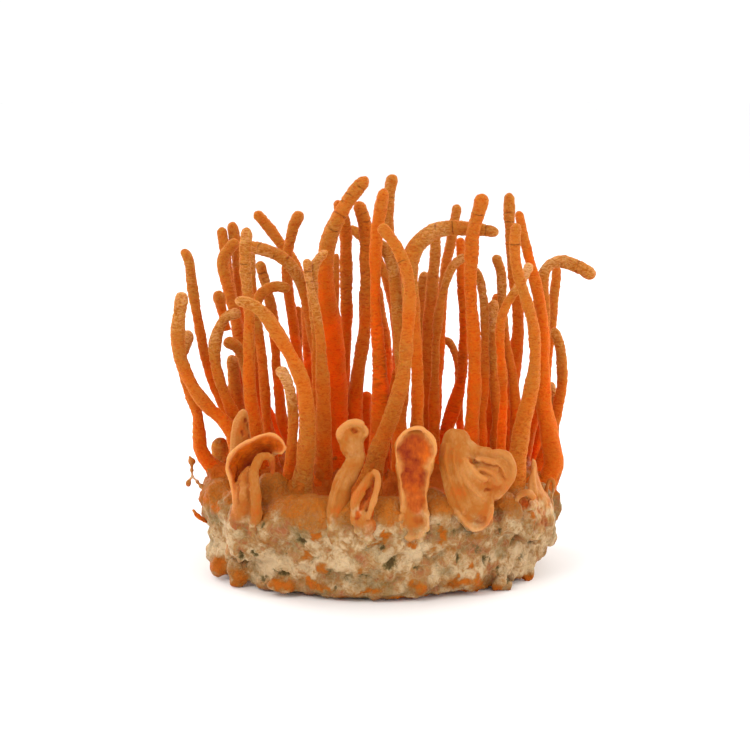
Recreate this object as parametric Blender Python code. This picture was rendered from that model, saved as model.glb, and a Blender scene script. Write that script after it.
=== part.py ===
"""A bunch of orange cordyceps clubs standing on the round cake of grain and mycelium they grew from.

Run it with: blender --background --python part.py
Metres, +Z up. The origin is the middle of the cake's flat underside, and the front faces -Y.
Every length below is in millimetres until it becomes a mesh.
"""

import math

import bmesh
import bpy
from mathutils import Vector, noise
from mathutils.bvhtree import BVHTree

MM = 0.001

# The cake: a jar-grown disc, wider at the rim than at the foot
UNDERSIDE_RADIUS = 31.0
CAKE_OUTLINE = (
    (34.6, 0.4),
    (36.6, 2.0),
    (37.8, 5.0),
    (38.8, 8.5),
    (39.8, 12.5),
    (40.6, 16.0),
    (40.4, 18.8),
    (38.8, 20.6),
    (35.6, 20.4),
    (29.0, 20.0),
    (19.0, 20.0),
    (9.0, 20.2),
)
CAKE_TOP = 20.2
CAKE_ROUND_STEPS = 90
GRAIN_LUMP = 1.3
GRAIN_SPACING = 5.5

# Knobs and dents on the cake: bearing in degrees (270 is the front), height, reach outwards, radius
CAKE_KNOBS = (
    (199, 4.0, 2.6, 4.0),
    (209, 4.5, 1.8, 3.6),
    (180, 12.0, -1.0, 7.0),
    (356, 17.0, 1.3, 4.5),
    (181, 16.5, 1.0, 2.4),
    (176, 7.0, -1.2, 5.0),
    (225, 9.0, -0.8, 4.0),
    (276, 10.0, -0.9, 3.4),
    (250, 14.0, 0.9, 3.0),
    (316, 8.0, -0.8, 3.6),
    (338, 3.5, 1.4, 4.0),
    (345, 11.0, 1.2, 3.0),
    (302, 3.0, 1.6, 5.0),
    (286, 1.5, 1.0, 3.2),
    (262, 8.0, 1.0, 4.5),
    (45, 6.0, 1.8, 4.5),
    (92, 13.0, 1.5, 4.0),
    (131, 5.0, 2.0, 5.0),
    (20, 14.0, 1.3, 4.0),
    (70, 3.0, 1.6, 4.0),
)
NOTCH_BEARING = 295.0
NOTCH_HALF_WIDTH = 5.0
NOTCH_RISE = 2.4
FRONT_RIM_RISE = 2.8

# Where the bunch is looked at from: the points of the clubs are given as seen from there
EYE_DISTANCE = 480.0
EYE_ELEVATION = math.radians(9.0)
AIM = Vector((-0.46, 0.0, 44.1))
AIM_UP = 51.75

# The bunch opens upwards: a club leans away from the middle by this share of its foot's depth,
# and bows forwards or backwards by up to about half of BOW. Neighbours bow alike.
FAN = 0.22
BOW = 22.0
BOW_SPACING = 13.0
SWAY = 1.1
CLUB_HEIGHT = 70.0
SEAT_GAP = 0.32

CLUB_SIDES = 7
CLUB_TOLERANCE = 0.2
LOBE_SIDES = 10
LOBE_TOLERANCE = 0.3
LONGEST_STEP = 22.0

# Each club: foot (across, depth behind the middle), thickness from foot to tip, and the points
# (across, up) that its middle line passes as seen from the front, ending at the very tip.
CLUBS = {
    "club_01": ((-31.5, -9), (3.6, 3.2, 3.2, 3.1, 2.9),
                ((-33.2, 38), (-35.5, 41.3), (-38.4, 44), (-41.1, 47.2), (-43.2, 50.8), (-44.8, 54.8),
                 (-45.8, 59), (-45.8, 63), (-45.3, 67), (-44.6, 70.8))),
    "club_02": ((-35.5, -1), (3.8, 3.4, 2.9, 2.6, 2.0, 2.8),
                ((-38.6, 31.5), (-40.5, 35), (-41, 39), (-41.4, 43), (-42.9, 47), (-44.3, 51), (-44.9, 55),
                 (-44.2, 58.5), (-43.2, 62))),
    "club_03": ((-30.5, 4), (2.4, 2.0, 1.9, 2.0, 2.4, 2.4),
                ((-33, 39.5), (-35, 43.5), (-36.4, 46.6), (-37.8, 50), (-39, 54), (-39.9, 58), (-40.8, 62.5),
                 (-41.7, 67), (-42.4, 71.5), (-42.8, 75.5), (-43.4, 78.2), (-44.8, 80.6))),
    "club_04": ((-30, -4), (2.9, 2.6, 2.5, 2.6, 2.6),
                ((-31.6, 40), (-33.6, 44), (-35.4, 48.5), (-36.8, 53), (-37.4, 57), (-37, 60.3), (-36, 63),
                 (-34.4, 65.2), (-31.2, 66.1))),
    "club_05": ((-27.5, 6), (2.8, 2.6, 2.7, 2.8),
                ((-29.2, 45), (-30, 52), (-31, 56.2), (-32.7, 58.6), (-35.3, 59.6))),
    "club_06": ((-28.5, 14.5), (3.6, 3.3, 3.2, 3.0),
                ((-31.9, 44), (-32.7, 49), (-33.1, 53), (-33.5, 56.4))),
    "club_07": ((-26, 23.2), (2.6, 2.4, 2.4, 2.4),
                ((-29.5, 50), (-31.5, 60), (-33, 68), (-34.4, 75), (-34.9, 79.5), (-35.8, 85.8))),
    "club_08": ((-24, 17.5), (2.6, 2.6, 2.6, 2.7, 2.6),
                ((-29.5, 46), (-31, 54), (-31.8, 61), (-32.6, 66), (-33.8, 70.5), (-35, 74.5), (-35.5, 77.4),
                 (-34.9, 79.8), (-32, 82.8))),
    "club_09": ((-20, 30), (2.6, 2.3, 2.2, 2.7),
                ((-28.5, 50), (-31, 62), (-31.8, 70), (-32.2, 77), (-32.6, 82), (-33.3, 87))),
    "club_10": ((-25.5, -9), (3.4, 2.8, 2.6, 2.6, 2.6),
                ((-28, 40), (-29.1, 46), (-29.5, 52), (-29.5, 58), (-29.4, 64), (-29.6, 69), (-30, 73),
                 (-30.3, 77), (-30.3, 81), (-29.9, 85.7))),
    "club_11": ((-22, 9), (2.6, 2.3, 2.2, 2.2),
                ((-26.6, 46), (-27.2, 54), (-27.8, 62), (-28.4, 70), (-28.9, 76), (-29.3, 80.8))),
    "club_12": ((-17.5, 12.5), (2.8, 2.5, 2.3, 2.4),
                ((-21.7, 41), (-22.6, 48), (-23, 54), (-23.5, 61), (-24.5, 68), (-25.5, 72), (-26.3, 75),
                 (-27, 78))),
    "club_13": ((-23.5, 1), (2.6, 2.4, 2.2, 2.3, 2.3),
                ((-25.2, 40), (-25.9, 50), (-26.7, 58), (-27.7, 64), (-28, 67.4), (-27, 69.8), (-25.2, 71.4),
                 (-23, 72.1), (-19.9, 71.6))),
    "club_14": ((-17.5, -26), (4.6, 4.2, 3.4, 3.2, 3.1, 2.6),
                ((-16.4, 33), (-15.8, 38), (-16, 42), (-16.3, 46), (-16.9, 49), (-18, 52.3), (-19.6, 55.7),
                 (-21.4, 58.8), (-23.2, 61.8), (-25, 64.6), (-27.2, 67), (-29.8, 68.4), (-32.7, 69))),
    "club_15": ((-20.5, -19.5), (2.9, 2.5, 2.1, 2.5),
                ((-19.6, 36), (-19.3, 41), (-19.6, 45.5), (-20.3, 49), (-21.3, 51.4), (-22.9, 53.5))),
    "club_16": ((-9, 29.5), (2.6, 2.4, 2.4, 2.5),
                ((-12.2, 50), (-14, 60), (-15.7, 68), (-17.7, 74.5), (-20, 79), (-22.8, 83), (-25.2, 86),
                 (-28.1, 89.3))),
    "club_17": ((-14, 20.5), (2.9, 2.4, 2.3, 2.5),
                ((-17, 46), (-18.2, 55), (-19, 61), (-19.8, 67), (-20.6, 73), (-20.7, 78), (-20.1, 82),
                 (-19.1, 86), (-17.4, 89.3))),
    "club_18": ((-12.5, 4), (2.8, 2.5, 2.5, 2.6, 2.6),
                ((-13.2, 50), (-14.3, 57), (-15.1, 63), (-16, 68), (-17.2, 72), (-18.7, 75.3), (-20.8, 77.9),
                 (-23.6, 79.7), (-26.4, 80.7), (-29.9, 81.5))),
    "club_19": ((-12.5, -15.5), (4.6, 4.0, 3.2, 2.4, 1.8, 1.8),
                ((-12.3, 42), (-12.5, 48), (-12.7, 54), (-13, 60), (-13.9, 66), (-14.9, 70.5), (-15.7, 74),
                 (-16.2, 78.5))),
    "club_20": ((-8.5, -2), (4.6, 4.4, 4.6, 4.6, 4.0, 3.6, 3.0),
                ((-9.1, 43), (-9.3, 50), (-9.8, 57), (-10.5, 63), (-11.3, 68), (-11.9, 73), (-12, 77),
                 (-11.6, 81), (-10.6, 84.4), (-9.1, 87.7), (-7.3, 90.7), (-5.2, 93.8), (-2.2, 97.3))),
    "club_21": ((-14, -8.5), (2.8, 2.6, 2.5, 2.4),
                ((-13.8, 50), (-13.8, 58), (-14.4, 66), (-14.9, 71), (-14.8, 74.8), (-13.9, 77.6),
                 (-11.5, 80.4))),
    "club_22": ((-7, 12), (3.2, 2.8, 2.8, 2.8, 2.6),
                ((-8, 45), (-7.7, 52), (-7.2, 60), (-7, 66), (-7.1, 72), (-7.1, 78), (-7.1, 83), (-7.5, 87),
                 (-8.3, 89.6), (-9.4, 91.9))),
    "club_23": ((-4.5, 3.5), (4.2, 3.8, 3.2, 3.1, 3.0, 2.9),
                ((-5.2, 42), (-4.9, 48), (-4.1, 54), (-3.2, 60), (-2.6, 66), (-2.4, 72), (-2.4, 78),
                 (-2.5, 83), (-2.9, 87), (-4.5, 91.7))),
    "club_24": ((3.5, 22), (2.8, 2.6, 2.4, 2.0),
                ((4.8, 50), (4.8, 58), (4.3, 65), (3.4, 70), (2, 74.5), (0.3, 78), (-1.5, 81), (-3.5, 83.6),
                 (-6.5, 85.8))),
    "club_25": ((0, -7.5), (4.8, 4.5, 4.2, 3.0, 2.3, 2.3, 3.0, 2.9),
                ((0.6, 41), (0.9, 46), (0.8, 51), (0.5, 56), (0.1, 61), (-0.2, 66), (-0.3, 71), (-0.3, 76),
                 (-0.3, 80), (-0.1, 84), (0.4, 88), (1.7, 94.6))),
    "club_26": ((4.5, 12), (2.8, 2.6, 2.4, 2.2, 2.9),
                ((5.8, 50), (5.9, 60), (5.6, 66), (5.1, 72), (4.3, 77), (3.5, 81), (2.8, 85), (2.5, 89),
                 (2.8, 93), (3.8, 97.9))),
    "club_27": ((-2.5, -23.5), (5.2, 4.2, 3.6, 3.2, 3.0, 3.1, 2.7),
                ((0.6, 35), (2.2, 39.5), (3.8, 43.5), (5.2, 48), (6.2, 53), (6.8, 58), (7.2, 63), (7.5, 68),
                 (7.4, 72), (6.8, 75.5), (5.7, 78.6), (4.3, 81.4), (2.6, 83.9), (0.5, 86.2))),
    "club_28": ((4.5, -12.4), (3.2, 3.0, 2.9, 2.8),
                ((5.7, 48), (5.5, 55), (5.1, 61), (4.8, 66), (4.5, 70.5), (4, 74.5), (3, 78.2), (1.6, 80.8),
                 (-0.7, 82.3))),
    "club_29": ((8.5, -19), (3.6, 3.2, 3.0, 2.9, 3.3, 3.7, 3.8, 3.6, 2.8),
                ((9.2, 42), (9.4, 48), (9.3, 54), (8.7, 60), (8.1, 66), (7.7, 71), (7.6, 75), (7.8, 78),
                 (8.7, 80.8), (10.5, 83), (13, 84.8), (16, 85.5), (19, 85.6), (22, 85.4), (25, 85),
                 (28, 84.4))),
    "club_30": ((8, 13), (2.6, 2.4, 2.2, 2.2),
                ((10.3, 48), (10.2, 56), (9.9, 63), (9.9, 68), (10.3, 72), (11, 75.6))),
    "club_31": ((11.5, 2.5), (4.2, 3.8, 3.5, 3.0, 2.7, 2.5),
                ((11.7, 45), (11.6, 52), (11.6, 58), (11.9, 63), (12.4, 68), (12.9, 74), (13.3, 79),
                 (13.6, 86))),
    "club_32": ((12, 20), (2.6, 2.3, 2.2, 2.5),
                ((13.7, 44), (13.9, 51), (14.4, 58), (14.8, 65), (15.4, 73), (16.2, 78.5), (17, 82.5),
                 (18.6, 91))),
    "club_33": ((13, -5), (3.2, 2.6, 2.2, 2.1, 2.1),
                ((13.1, 44), (13.3, 50), (13.5, 57), (13.8, 62), (14.3, 66.5), (15, 70), (15.8, 73),
                 (16.8, 75.7), (18.2, 77.7), (20.6, 79.1))),
    "club_34": ((21, -13), (4.0, 3.6, 3.2, 2.9, 2.8, 2.9, 3.1),
                ((21.8, 38), (22, 43), (22.3, 48), (22.4, 54), (22.2, 60), (21.9, 65), (21.6, 70),
                 (21.5, 75), (21.7, 79), (21.9, 83), (22.4, 86), (23.1, 88.7), (24.5, 93.4))),
    "club_35": ((15, 8.5), (3.8, 3.5, 2.6, 2.1, 1.9, 1.9),
                ((16.2, 39.5), (17.3, 43), (18.6, 47), (19.4, 51), (19.8, 56), (20, 61), (19.9, 66),
                 (19.5, 71), (19.3, 75), (19.2, 83.4))),
    "club_36": ((19.5, 23), (2.2, 1.9, 1.8, 1.8),
                ((18.9, 46), (18.9, 51), (18.5, 54.7), (17.7, 57.5), (16.7, 59.2), (15.1, 60))),
    "club_37": ((24, 0), (2.6, 2.3, 2.1, 2.0),
                ((24, 42), (24.6, 48), (24.9, 54), (24.9, 60), (24.8, 66), (24.4, 70), (23.8, 73.3),
                 (22.4, 76.5))),
    "club_38": ((27, -7.5), (3.0, 2.5, 2.2, 2.2),
                ((27.6, 42), (27.2, 47), (26.9, 52), (26.8, 57), (26.8, 62), (26.8, 69.1))),
    "club_39": ((23, 26), (2.4, 2.1, 2.0, 2.0),
                ((26, 48), (26.6, 58), (27.1, 65), (27.7, 70.5))),
    "club_40": ((32, -1), (2.9, 2.6, 2.3, 2.1, 2.1),
                ((31.8, 42), (31.6, 47), (31.1, 51.5), (30.3, 56), (29.5, 60.5), (29, 65), (28.8, 69),
                 (28.7, 73), (28.3, 76), (27.1, 79.4))),
    "club_41": ((28, -14.5), (2.5, 2.1, 1.9, 1.9, 2.0),
                ((28.9, 42), (29.1, 47), (28.8, 52), (28.4, 57), (28.2, 61), (28.5, 64), (29.4, 67),
                 (30.8, 69.5), (32.3, 71.7), (33.6, 74), (35.3, 77.5))),
    "club_42": ((26.5, 11), (3.6, 3.8, 3.4, 2.5, 2.4, 2.8),
                ((30.8, 50), (31.7, 56), (32.3, 61), (32.4, 66), (31.9, 71), (31.2, 76), (30.8, 80),
                 (30.6, 85), (30.4, 93.7))),
    "club_43": ((30.5, -22), (4.4, 4.1, 3.4, 2.8, 2.6, 2.6, 2.5),
                ((31.4, 27), (32, 31), (32.6, 35), (33.3, 39), (34.2, 43), (35.2, 47), (36, 51),
                 (36.4, 55), (36.3, 59), (35.8, 63), (34.9, 67), (33.7, 71), (32.6, 74.6), (31.9, 78),
                 (31.8, 82), (32, 86.7))),
    "club_44": ((37.2, -5), (4.7, 4.5, 4.0, 3.4, 3.1, 3.0, 2.7, 2.2, 2.0),
                ((40.1, 34.5), (39.4, 39), (38.6, 43.5), (38.3, 48), (38.3, 54), (38.2, 60),
                 (37.8, 65.5), (37, 70.5), (36, 75), (34.9, 79), (33.9, 82.7), (33.2, 86),
                 (32.5, 89.5))),
    "club_45": ((33, 9), (2.8, 2.5, 2.4, 2.5, 2.7, 2.8),
                ((36.8, 44), (38, 52), (38.6, 58), (38.6, 64), (38.3, 69), (38, 73), (38.6, 75.7),
                 (40.2, 77.3), (42.2, 77.8), (44.5, 77.3), (47, 76.3), (50.2, 74.3))),
    "club_46": ((30.5, 18), (2.6, 2.2, 1.9, 2.0),
                ((37.3, 40), (38.2, 46), (39, 52), (39.7, 58), (40.3, 64), (40.8, 70), (41.4, 77))),
    "club_47": ((37, 4), (2.8, 2.4, 2.4, 2.3),
                ((39.6, 37), (40.8, 41), (41.7, 45), (42.4, 49), (42.6, 53), (42.3, 57), (41.6, 60),
                 (40.4, 62.6))),
    "club_48": ((-32, 11.5), (4.2, 4.0, 3.6),
                ((-35.6, 33.5), (-36.4, 37.4))),
    "club_49": ((-13, 34), (2.4, 2.2, 2.1),
                ((-15.3, 50), (-16.1, 60), (-16.7, 68))),
    "club_50": ((0.5, 31), (2.9, 2.6, 2.4),
                ((2.6, 50), (2.2, 59), (0.9, 66), (0.1, 72.5))),
    "club_51": ((10.5, 31), (1.9, 1.6, 1.5),
                ((13.6, 50), (14.3, 62), (14.9, 71), (15.5, 79))),
}

# Each lobe: points (across, up, depth) from inside the cake to the tip, then its breadth across the
# view and its thickness in depth at each of those points.
LOBES = {
    "curled_lobe": (((-29.3, 14, -30), (-29.6, 20, -32), (-29.8, 26, -32.5), (-28.7, 31, -31.5),
                     (-27.4, 34.5, -30.5), (-25, 38.2, -29)),
                    (6.6, 7.6, 9.4, 12.8, 12.2, 3.0),
                    (4.6, 4.6, 5.0, 5.8, 5.2, 2.4)),
    "ear_lobe": (((-8.6, 14, -34), (-9, 20, -37), (-7.8, 26, -37), (-5.2, 31, -36), (-5.6, 35.5, -36.5),
                  (-6.6, 40.6, -36)),
                 (5.6, 5.2, 5.0, 3.6, 7.6, 4.4),
                 (4.4, 4.0, 4.0, 3.6, 4.4, 3.0)),
    "hooked_stub": (((-2.2, 14, -34.5), (-3.2, 19.5, -38), (-2.6, 25, -38.5), (-0.4, 29.5, -38)),
                    (4.6, 5.6, 4.8, 2.4),
                    (3.4, 3.0, 3.0, 2.0)),
    "paddle_lobe": (((8, 13.5, -34.5), (8, 19, -39), (8.1, 26, -39.5), (8.6, 33, -39.5), (8.8, 37.6, -38.5)),
                    (5.2, 5.6, 6.0, 8.8, 5.0),
                    (3.8, 3.6, 3.6, 3.8, 2.8)),
    "folded_lobe": (((22.5, 14, -30), (21.5, 20, -34.5), (19.3, 27, -35.5), (18.2, 33.5, -34.5),
                     (20.8, 36, -35), (25, 32.8, -36.5), (28.8, 30, -37), (28.3, 25.2, -37)),
                    (8.4, 9.4, 8.8, 7.4, 5.6, 6.4, 6.6, 3.0),
                    (5.0, 5.0, 4.8, 4.6, 4.4, 4.4, 4.2, 2.4)),
    "torn_flap": (((-29.6, 27, -17), (-31, 35, -18), (-31.2, 39, -18), (-30.4, 43.8, -18)),
                  (3.4, 3.8, 3.8, 1.6),
                  (2.6, 2.4, 2.2, 1.4)),
    "beaded_sprig": (((-39, 22.6, -4), (-40.8, 26, -4), (-42.2, 28.2, -4), (-42.6, 30.6, -4),
                      (-43.1, 33.2, -4)),
                     (1.8, 1.3, 1.7, 1.5, 0.7),
                     (1.6, 1.2, 1.5, 1.3, 0.7)),
    "rim_flap": (((36.2, 18, -17), (36.8, 23, -20), (36.4, 27.5, -20), (36.1, 32, -19.5)),
                 (3.6, 3.2, 2.2, 0.9),
                 (2.4, 2.0, 1.6, 0.8)),
}

COLOURS = {
    "club_orange": ((0.78, 0.23, 0.03, 1.0), 0.62),
    "lobe_orange": ((0.80, 0.33, 0.10, 1.0), 0.60),
    "grain_cream": ((0.62, 0.47, 0.30, 1.0), 0.85),
}


def clear_scene():
    for obj in list(bpy.data.objects):
        bpy.data.objects.remove(obj)


def new_material(name):
    colour, roughness = COLOURS[name]
    material = bpy.data.materials.new(name)
    material.use_nodes = True
    shader = material.node_tree.nodes["Principled BSDF"]
    shader.inputs["Base Color"].default_value = colour
    shader.inputs["Roughness"].default_value = roughness
    shader.inputs["Metallic"].default_value = 0.0
    return material


def add_object(name, mesh, material):
    for polygon in mesh.polygons:
        polygon.use_smooth = True
    mesh.materials.append(material)
    obj = bpy.data.objects.new(name, mesh)
    bpy.context.scene.collection.objects.link(obj)
    return obj


def mesh_from(name, points, faces):
    """A closed mesh in metres from points in millimetres, with its faces turned outwards."""
    mesh = bpy.data.meshes.new(name)
    mesh.from_pydata([point * MM for point in points], [], faces)
    shape = bmesh.new()
    shape.from_mesh(mesh)
    bmesh.ops.recalc_face_normals(shape, faces=shape.faces)
    shape.to_mesh(mesh)
    shape.free()
    return mesh


# The cake


def rim_rise(bearing):
    """The rim stands a little higher at the front, where the mycelium has folded up."""
    return FRONT_RIM_RISE * max(0.0, math.cos(bearing - math.radians(270))) ** 2


def knob_reach(bearing, height):
    """How far the knobs push the side of the cake outwards there."""
    reach = 0.0
    for knob_bearing, knob_height, out, radius in CAKE_KNOBS:
        turn = math.remainder(bearing - math.radians(knob_bearing), math.tau)
        away = math.hypot(turn * 38.0, height - knob_height) / radius
        reach += out * math.exp(-away * away)
    return reach


def cake_point(bearing, radius, height):
    """A point of the cake's skin, with the lumps that the grains under it make."""
    flat = Vector((math.cos(bearing), math.sin(bearing), 0.0)) * radius
    lump = noise.noise((flat + Vector((0, 0, height))) / GRAIN_SPACING) * 2 * GRAIN_LUMP
    edge = min(1.0, max(0.0, (radius - 33.0) / 3.0))
    outwards = (lump + knob_reach(bearing, height)) * edge
    turn = abs(math.remainder(bearing - math.radians(NOTCH_BEARING), math.tau)) * 36.0
    notch = max(0.0, 1.0 - (turn / NOTCH_HALF_WIDTH) ** 2) if height < 2.5 else 0.0
    rim = min(1.0, max(0.0, (radius - 30.0) / 5.0))
    upwards = (lump * 0.5 * min(1.0, radius / 30.0) + rim_rise(bearing) * rim)
    upwards *= min(1.0, max(0.0, (height - 15.0) / 5.0))
    flat *= (radius + outwards) / radius
    return Vector((flat.x, flat.y, max(0.0, height + upwards + NOTCH_RISE * notch * edge)))


def build_cake(material):
    outline = ((UNDERSIDE_RADIUS, 0.0),) + CAKE_OUTLINE
    bearings = [math.tau * step / CAKE_ROUND_STEPS for step in range(CAKE_ROUND_STEPS)]
    points = [cake_point(bearing, radius, height) for radius, height in outline for bearing in bearings]
    faces = []
    for ring in range(len(outline) - 1):
        for step in range(CAKE_ROUND_STEPS):
            beside = (step + 1) % CAKE_ROUND_STEPS
            low, high = ring * CAKE_ROUND_STEPS, (ring + 1) * CAKE_ROUND_STEPS
            faces.append((low + step, low + beside, high + beside, high + step))
    faces.append(tuple(range(CAKE_ROUND_STEPS)))
    top_ring = (len(outline) - 1) * CAKE_ROUND_STEPS
    points.append(Vector((0.0, 0.0, CAKE_TOP)))
    for step in range(CAKE_ROUND_STEPS):
        faces.append((top_ring + step, top_ring + (step + 1) % CAKE_ROUND_STEPS, len(points) - 1))
    return add_object("grain_cake", mesh_from("grain_cake", points, faces), material)


# Lines as seen from the front


def sight(across, up):
    """The eye, and the way from it to where (across, up) lies in the plane of the bunch's middle."""
    forward = Vector((0, math.cos(EYE_ELEVATION), -math.sin(EYE_ELEVATION)))
    upward = Vector((0, math.sin(EYE_ELEVATION), math.cos(EYE_ELEVATION)))
    way = forward * EYE_DISTANCE + Vector((across - AIM.x, 0, 0)) + upward * (up - AIM_UP)
    return AIM - forward * EYE_DISTANCE, way


def seen_at(across, up, depth):
    """The point at that depth which is seen at (across, up), and how much smaller it looks."""
    eye, way = sight(across, up)
    share = (depth - eye.y) / way.y
    return eye + way * share, share


def depth_of_club(foot, height):
    """How deep a club is at a height: it leans outwards, bows and sways a little on the way up."""
    across, depth = foot
    rise = height / CLUB_HEIGHT
    bow = BOW * noise.noise(Vector((across, depth, 40.0)) / BOW_SPACING)
    sway = SWAY * math.sin(math.tau * rise + across * 0.7 + depth * 0.4)
    return depth + depth * FAN * rise + bow * rise**2 + sway * min(1.0, rise * 5.0)


def seen_on_club(across, up, foot):
    """The point of a club that is seen at (across, up)."""
    point = seen_at(across, up, foot[1])[0]
    for _ in range(5):
        point = seen_at(across, up, depth_of_club(foot, point.z - CAKE_TOP))[0]
    return point


def smooth_line(points, steps=10):
    """A smooth curve through the points, as a list of close points."""
    line = []
    last = len(points) - 1
    for i in range(last):
        before, start, end, after = points[max(i - 1, 0)], points[i], points[i + 1], points[min(i + 2, last)]
        span = (end - start).length
        leave = (end - before) / max((end - start).length + (start - before).length, 1e-6) * span
        arrive = (after - start) / max((after - end).length + (end - start).length, 1e-6) * span
        for k in range(steps):
            t = k / steps
            line.append(
                start * (2 * t**3 - 3 * t**2 + 1)
                + leave * (t**3 - 2 * t**2 + t)
                + end * (3 * t**2 - 2 * t**3)
                + arrive * (t**3 - t**2)
            )
    line.append(points[last].copy())
    return line


def lengths_along(line):
    total, lengths = 0.0, [0.0]
    for start, end in zip(line, line[1:]):
        total += (end - start).length
        lengths.append(total)
    return lengths


def value_at(share, values):
    """The value a share of the way along evenly spaced ones."""
    place = min(max(share, 0.0), 1.0) * (len(values) - 1)
    low = min(int(place), len(values) - 2)
    t = place - low
    t = t * t * (3 - 2 * t)
    return values[low] + (values[low + 1] - values[low]) * t


def off_chord(line, i, first, last):
    """How far point i of the line lies from the straight piece between two others."""
    chord = line[last] - line[first]
    share = min(1.0, max(0.0, (line[i] - line[first]).dot(chord) / chord.length_squared))
    return (line[i] - line[first] - chord * share).length


def rings_between(line, first, last, tolerance):
    """Rings needed between two others so that straight pieces follow the line."""
    inner = range(first + 1, last)
    if not inner:
        return []
    farthest = max(inner, key=lambda i: off_chord(line, i, first, last))
    if off_chord(line, farthest, first, last) < tolerance:
        if (line[last] - line[first]).length < LONGEST_STEP:
            return []
        farthest = (first + last) // 2
    before = rings_between(line, first, farthest, tolerance)
    return before + [farthest] + rings_between(line, farthest, last, tolerance)


def ring_indices(line, last_length, tolerance):
    """Where along the line a ring is worth having: closer together where it bends."""
    lengths = lengths_along(line)
    last = min(range(len(line)), key=lambda i: abs(lengths[i] - last_length))
    return [0] + rings_between(line, 0, last, tolerance) + [last]


def direction_at(line, i):
    return (line[min(i + 1, len(line) - 1)] - line[max(i - 1, 0)]).normalized()


def ring(centre, along, half_width, half_depth, sides):
    """Points round the centre: the breadth lies across the view and the thickness goes into it."""
    across = along.cross(Vector((0, 1, 0))).normalized()
    inwards = across.cross(along).normalized()
    angles = [math.tau * (side + 0.5) / sides for side in range(sides)]
    return [centre + across * half_width * math.cos(a) + inwards * half_depth * math.sin(a) for a in angles]


def skin(rings, tip):
    """Points and faces of a closed shape through the rings, ending in a point."""
    sides = len(rings[0])
    points = [point for one in rings for point in one] + [tip]
    faces = [tuple(range(sides))]
    for level in range(len(rings) - 1):
        for side in range(sides):
            beside = (side + 1) % sides
            low, high = level * sides, (level + 1) * sides
            faces.append((low + side, low + beside, high + beside, high + side))
    top = (len(rings) - 1) * sides
    for side in range(sides):
        faces.append((top + side, top + (side + 1) % sides, len(points) - 1))
    return points, faces


# Clubs and lobes


def ground_height(place, ground):
    """How high the top of the cake is there."""
    above = Vector((place.x, place.y, 60.0)) * MM
    return ground.ray_cast(above, Vector((0, 0, -1)))[0].z / MM


def foot_of(foot, ground):
    """Where a foot stands on the cake: its depth is real, its place across is as seen."""
    across, depth = foot
    place, share = seen_at(across, 28.0, depth)
    place.z = ground_height(place, ground) + SEAT_GAP
    return place, share


def club_line(name, ground):
    """The middle line of a club in space, and how much smaller it looks than at the middle."""
    foot, _, seen = CLUBS[name]
    start, share = foot_of(foot, ground)
    points = [start] + [seen_on_club(across, up, foot) for across, up in seen]
    return smooth_line(points), share


def build_club(name, ground, material):
    line, share = club_line(name, ground)
    thick = CLUBS[name][1]
    lengths = lengths_along(line)
    tip_radius = thick[-1] * share / 2
    last_length = lengths[-1] - tip_radius
    rings = []
    for i in ring_indices(line, last_length, CLUB_TOLERANCE):
        radius = value_at(lengths[i] / last_length, thick) * share / 2
        along = direction_at(line, i) if i else Vector((0, 0, 1))
        rings.append(ring(line[i], along, radius, radius, CLUB_SIDES))
    seat = max(ground_height(line[0].lerp(point, out), ground) for point in rings[0] for out in (0, 0.5, 1.1))
    for point in rings[0]:
        point.z = seat + SEAT_GAP
    end = direction_at(line, len(line) - 1)
    shoulder = line[-1] - end * tip_radius * 0.35
    rings.append(ring(shoulder, end, tip_radius * 0.76, tip_radius * 0.76, CLUB_SIDES))
    points, faces = skin(rings, line[-1])
    return add_object(name, mesh_from(name, points, faces), material)


def build_lobe(name, cutter, material):
    seen, breadths, depths = LOBES[name]
    line = smooth_line([seen_at(*point)[0] for point in seen])
    lengths = lengths_along(line)
    last_length = lengths[-1] - depths[-1] * 0.5
    rings = []
    for i in ring_indices(line, last_length, LOBE_TOLERANCE):
        share = i / (len(line) - 1)
        half_width, half_depth = value_at(share, breadths) / 2, value_at(share, depths) / 2
        rings.append(ring(line[i], direction_at(line, i), half_width, half_depth, LOBE_SIDES))
    points, faces = skin(rings, line[-1])
    lobe = add_object(name, mesh_from(name, points, faces), material)
    cut = lobe.modifiers.new("seat", "BOOLEAN")
    cut.operation = "DIFFERENCE"
    cut.solver = "EXACT"
    cut.object = cutter
    return lobe


def build_cutter(cake):
    """The cake grown by the seat gap, which cuts the foot of each lobe."""
    mesh = cake.data.copy()
    normals = [vertex.normal.copy() for vertex in mesh.vertices]
    for vertex, normal in zip(mesh.vertices, normals):
        vertex.co += normal * SEAT_GAP * 1.3 * MM
    cutter = bpy.data.objects.new("cake_cutter", mesh)
    bpy.context.scene.collection.objects.link(cutter)
    cutter.hide_render = True
    cutter.display_type = "WIRE"
    return cutter


def main():
    clear_scene()
    materials = {name: new_material(name) for name in COLOURS}
    cake = build_cake(materials["grain_cream"])
    ground = BVHTree.FromPolygons(
        [vertex.co.copy() for vertex in cake.data.vertices],
        [tuple(polygon.vertices) for polygon in cake.data.polygons],
    )
    for name in CLUBS:
        build_club(name, ground, materials["club_orange"])
    cutter = build_cutter(cake)
    for name in LOBES:
        build_lobe(name, cutter, materials["lobe_orange"])


main()
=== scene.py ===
"""The look of a bunch of orange cordyceps clubs on the cake of cooked grain that they grew from.

Laid out as an add-on and run as a script: blender --background --python scene.py
The sizes and colours that a user would change are settings; each kind of piece has its own operator.
Lengths are in millimetres in the code, and in metres in the settings and the meshes.
"""

import math
import random

import bpy
import numpy as np
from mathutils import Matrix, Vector, noise
from mathutils.bvhtree import BVHTree
from mathutils.kdtree import KDTree


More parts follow.
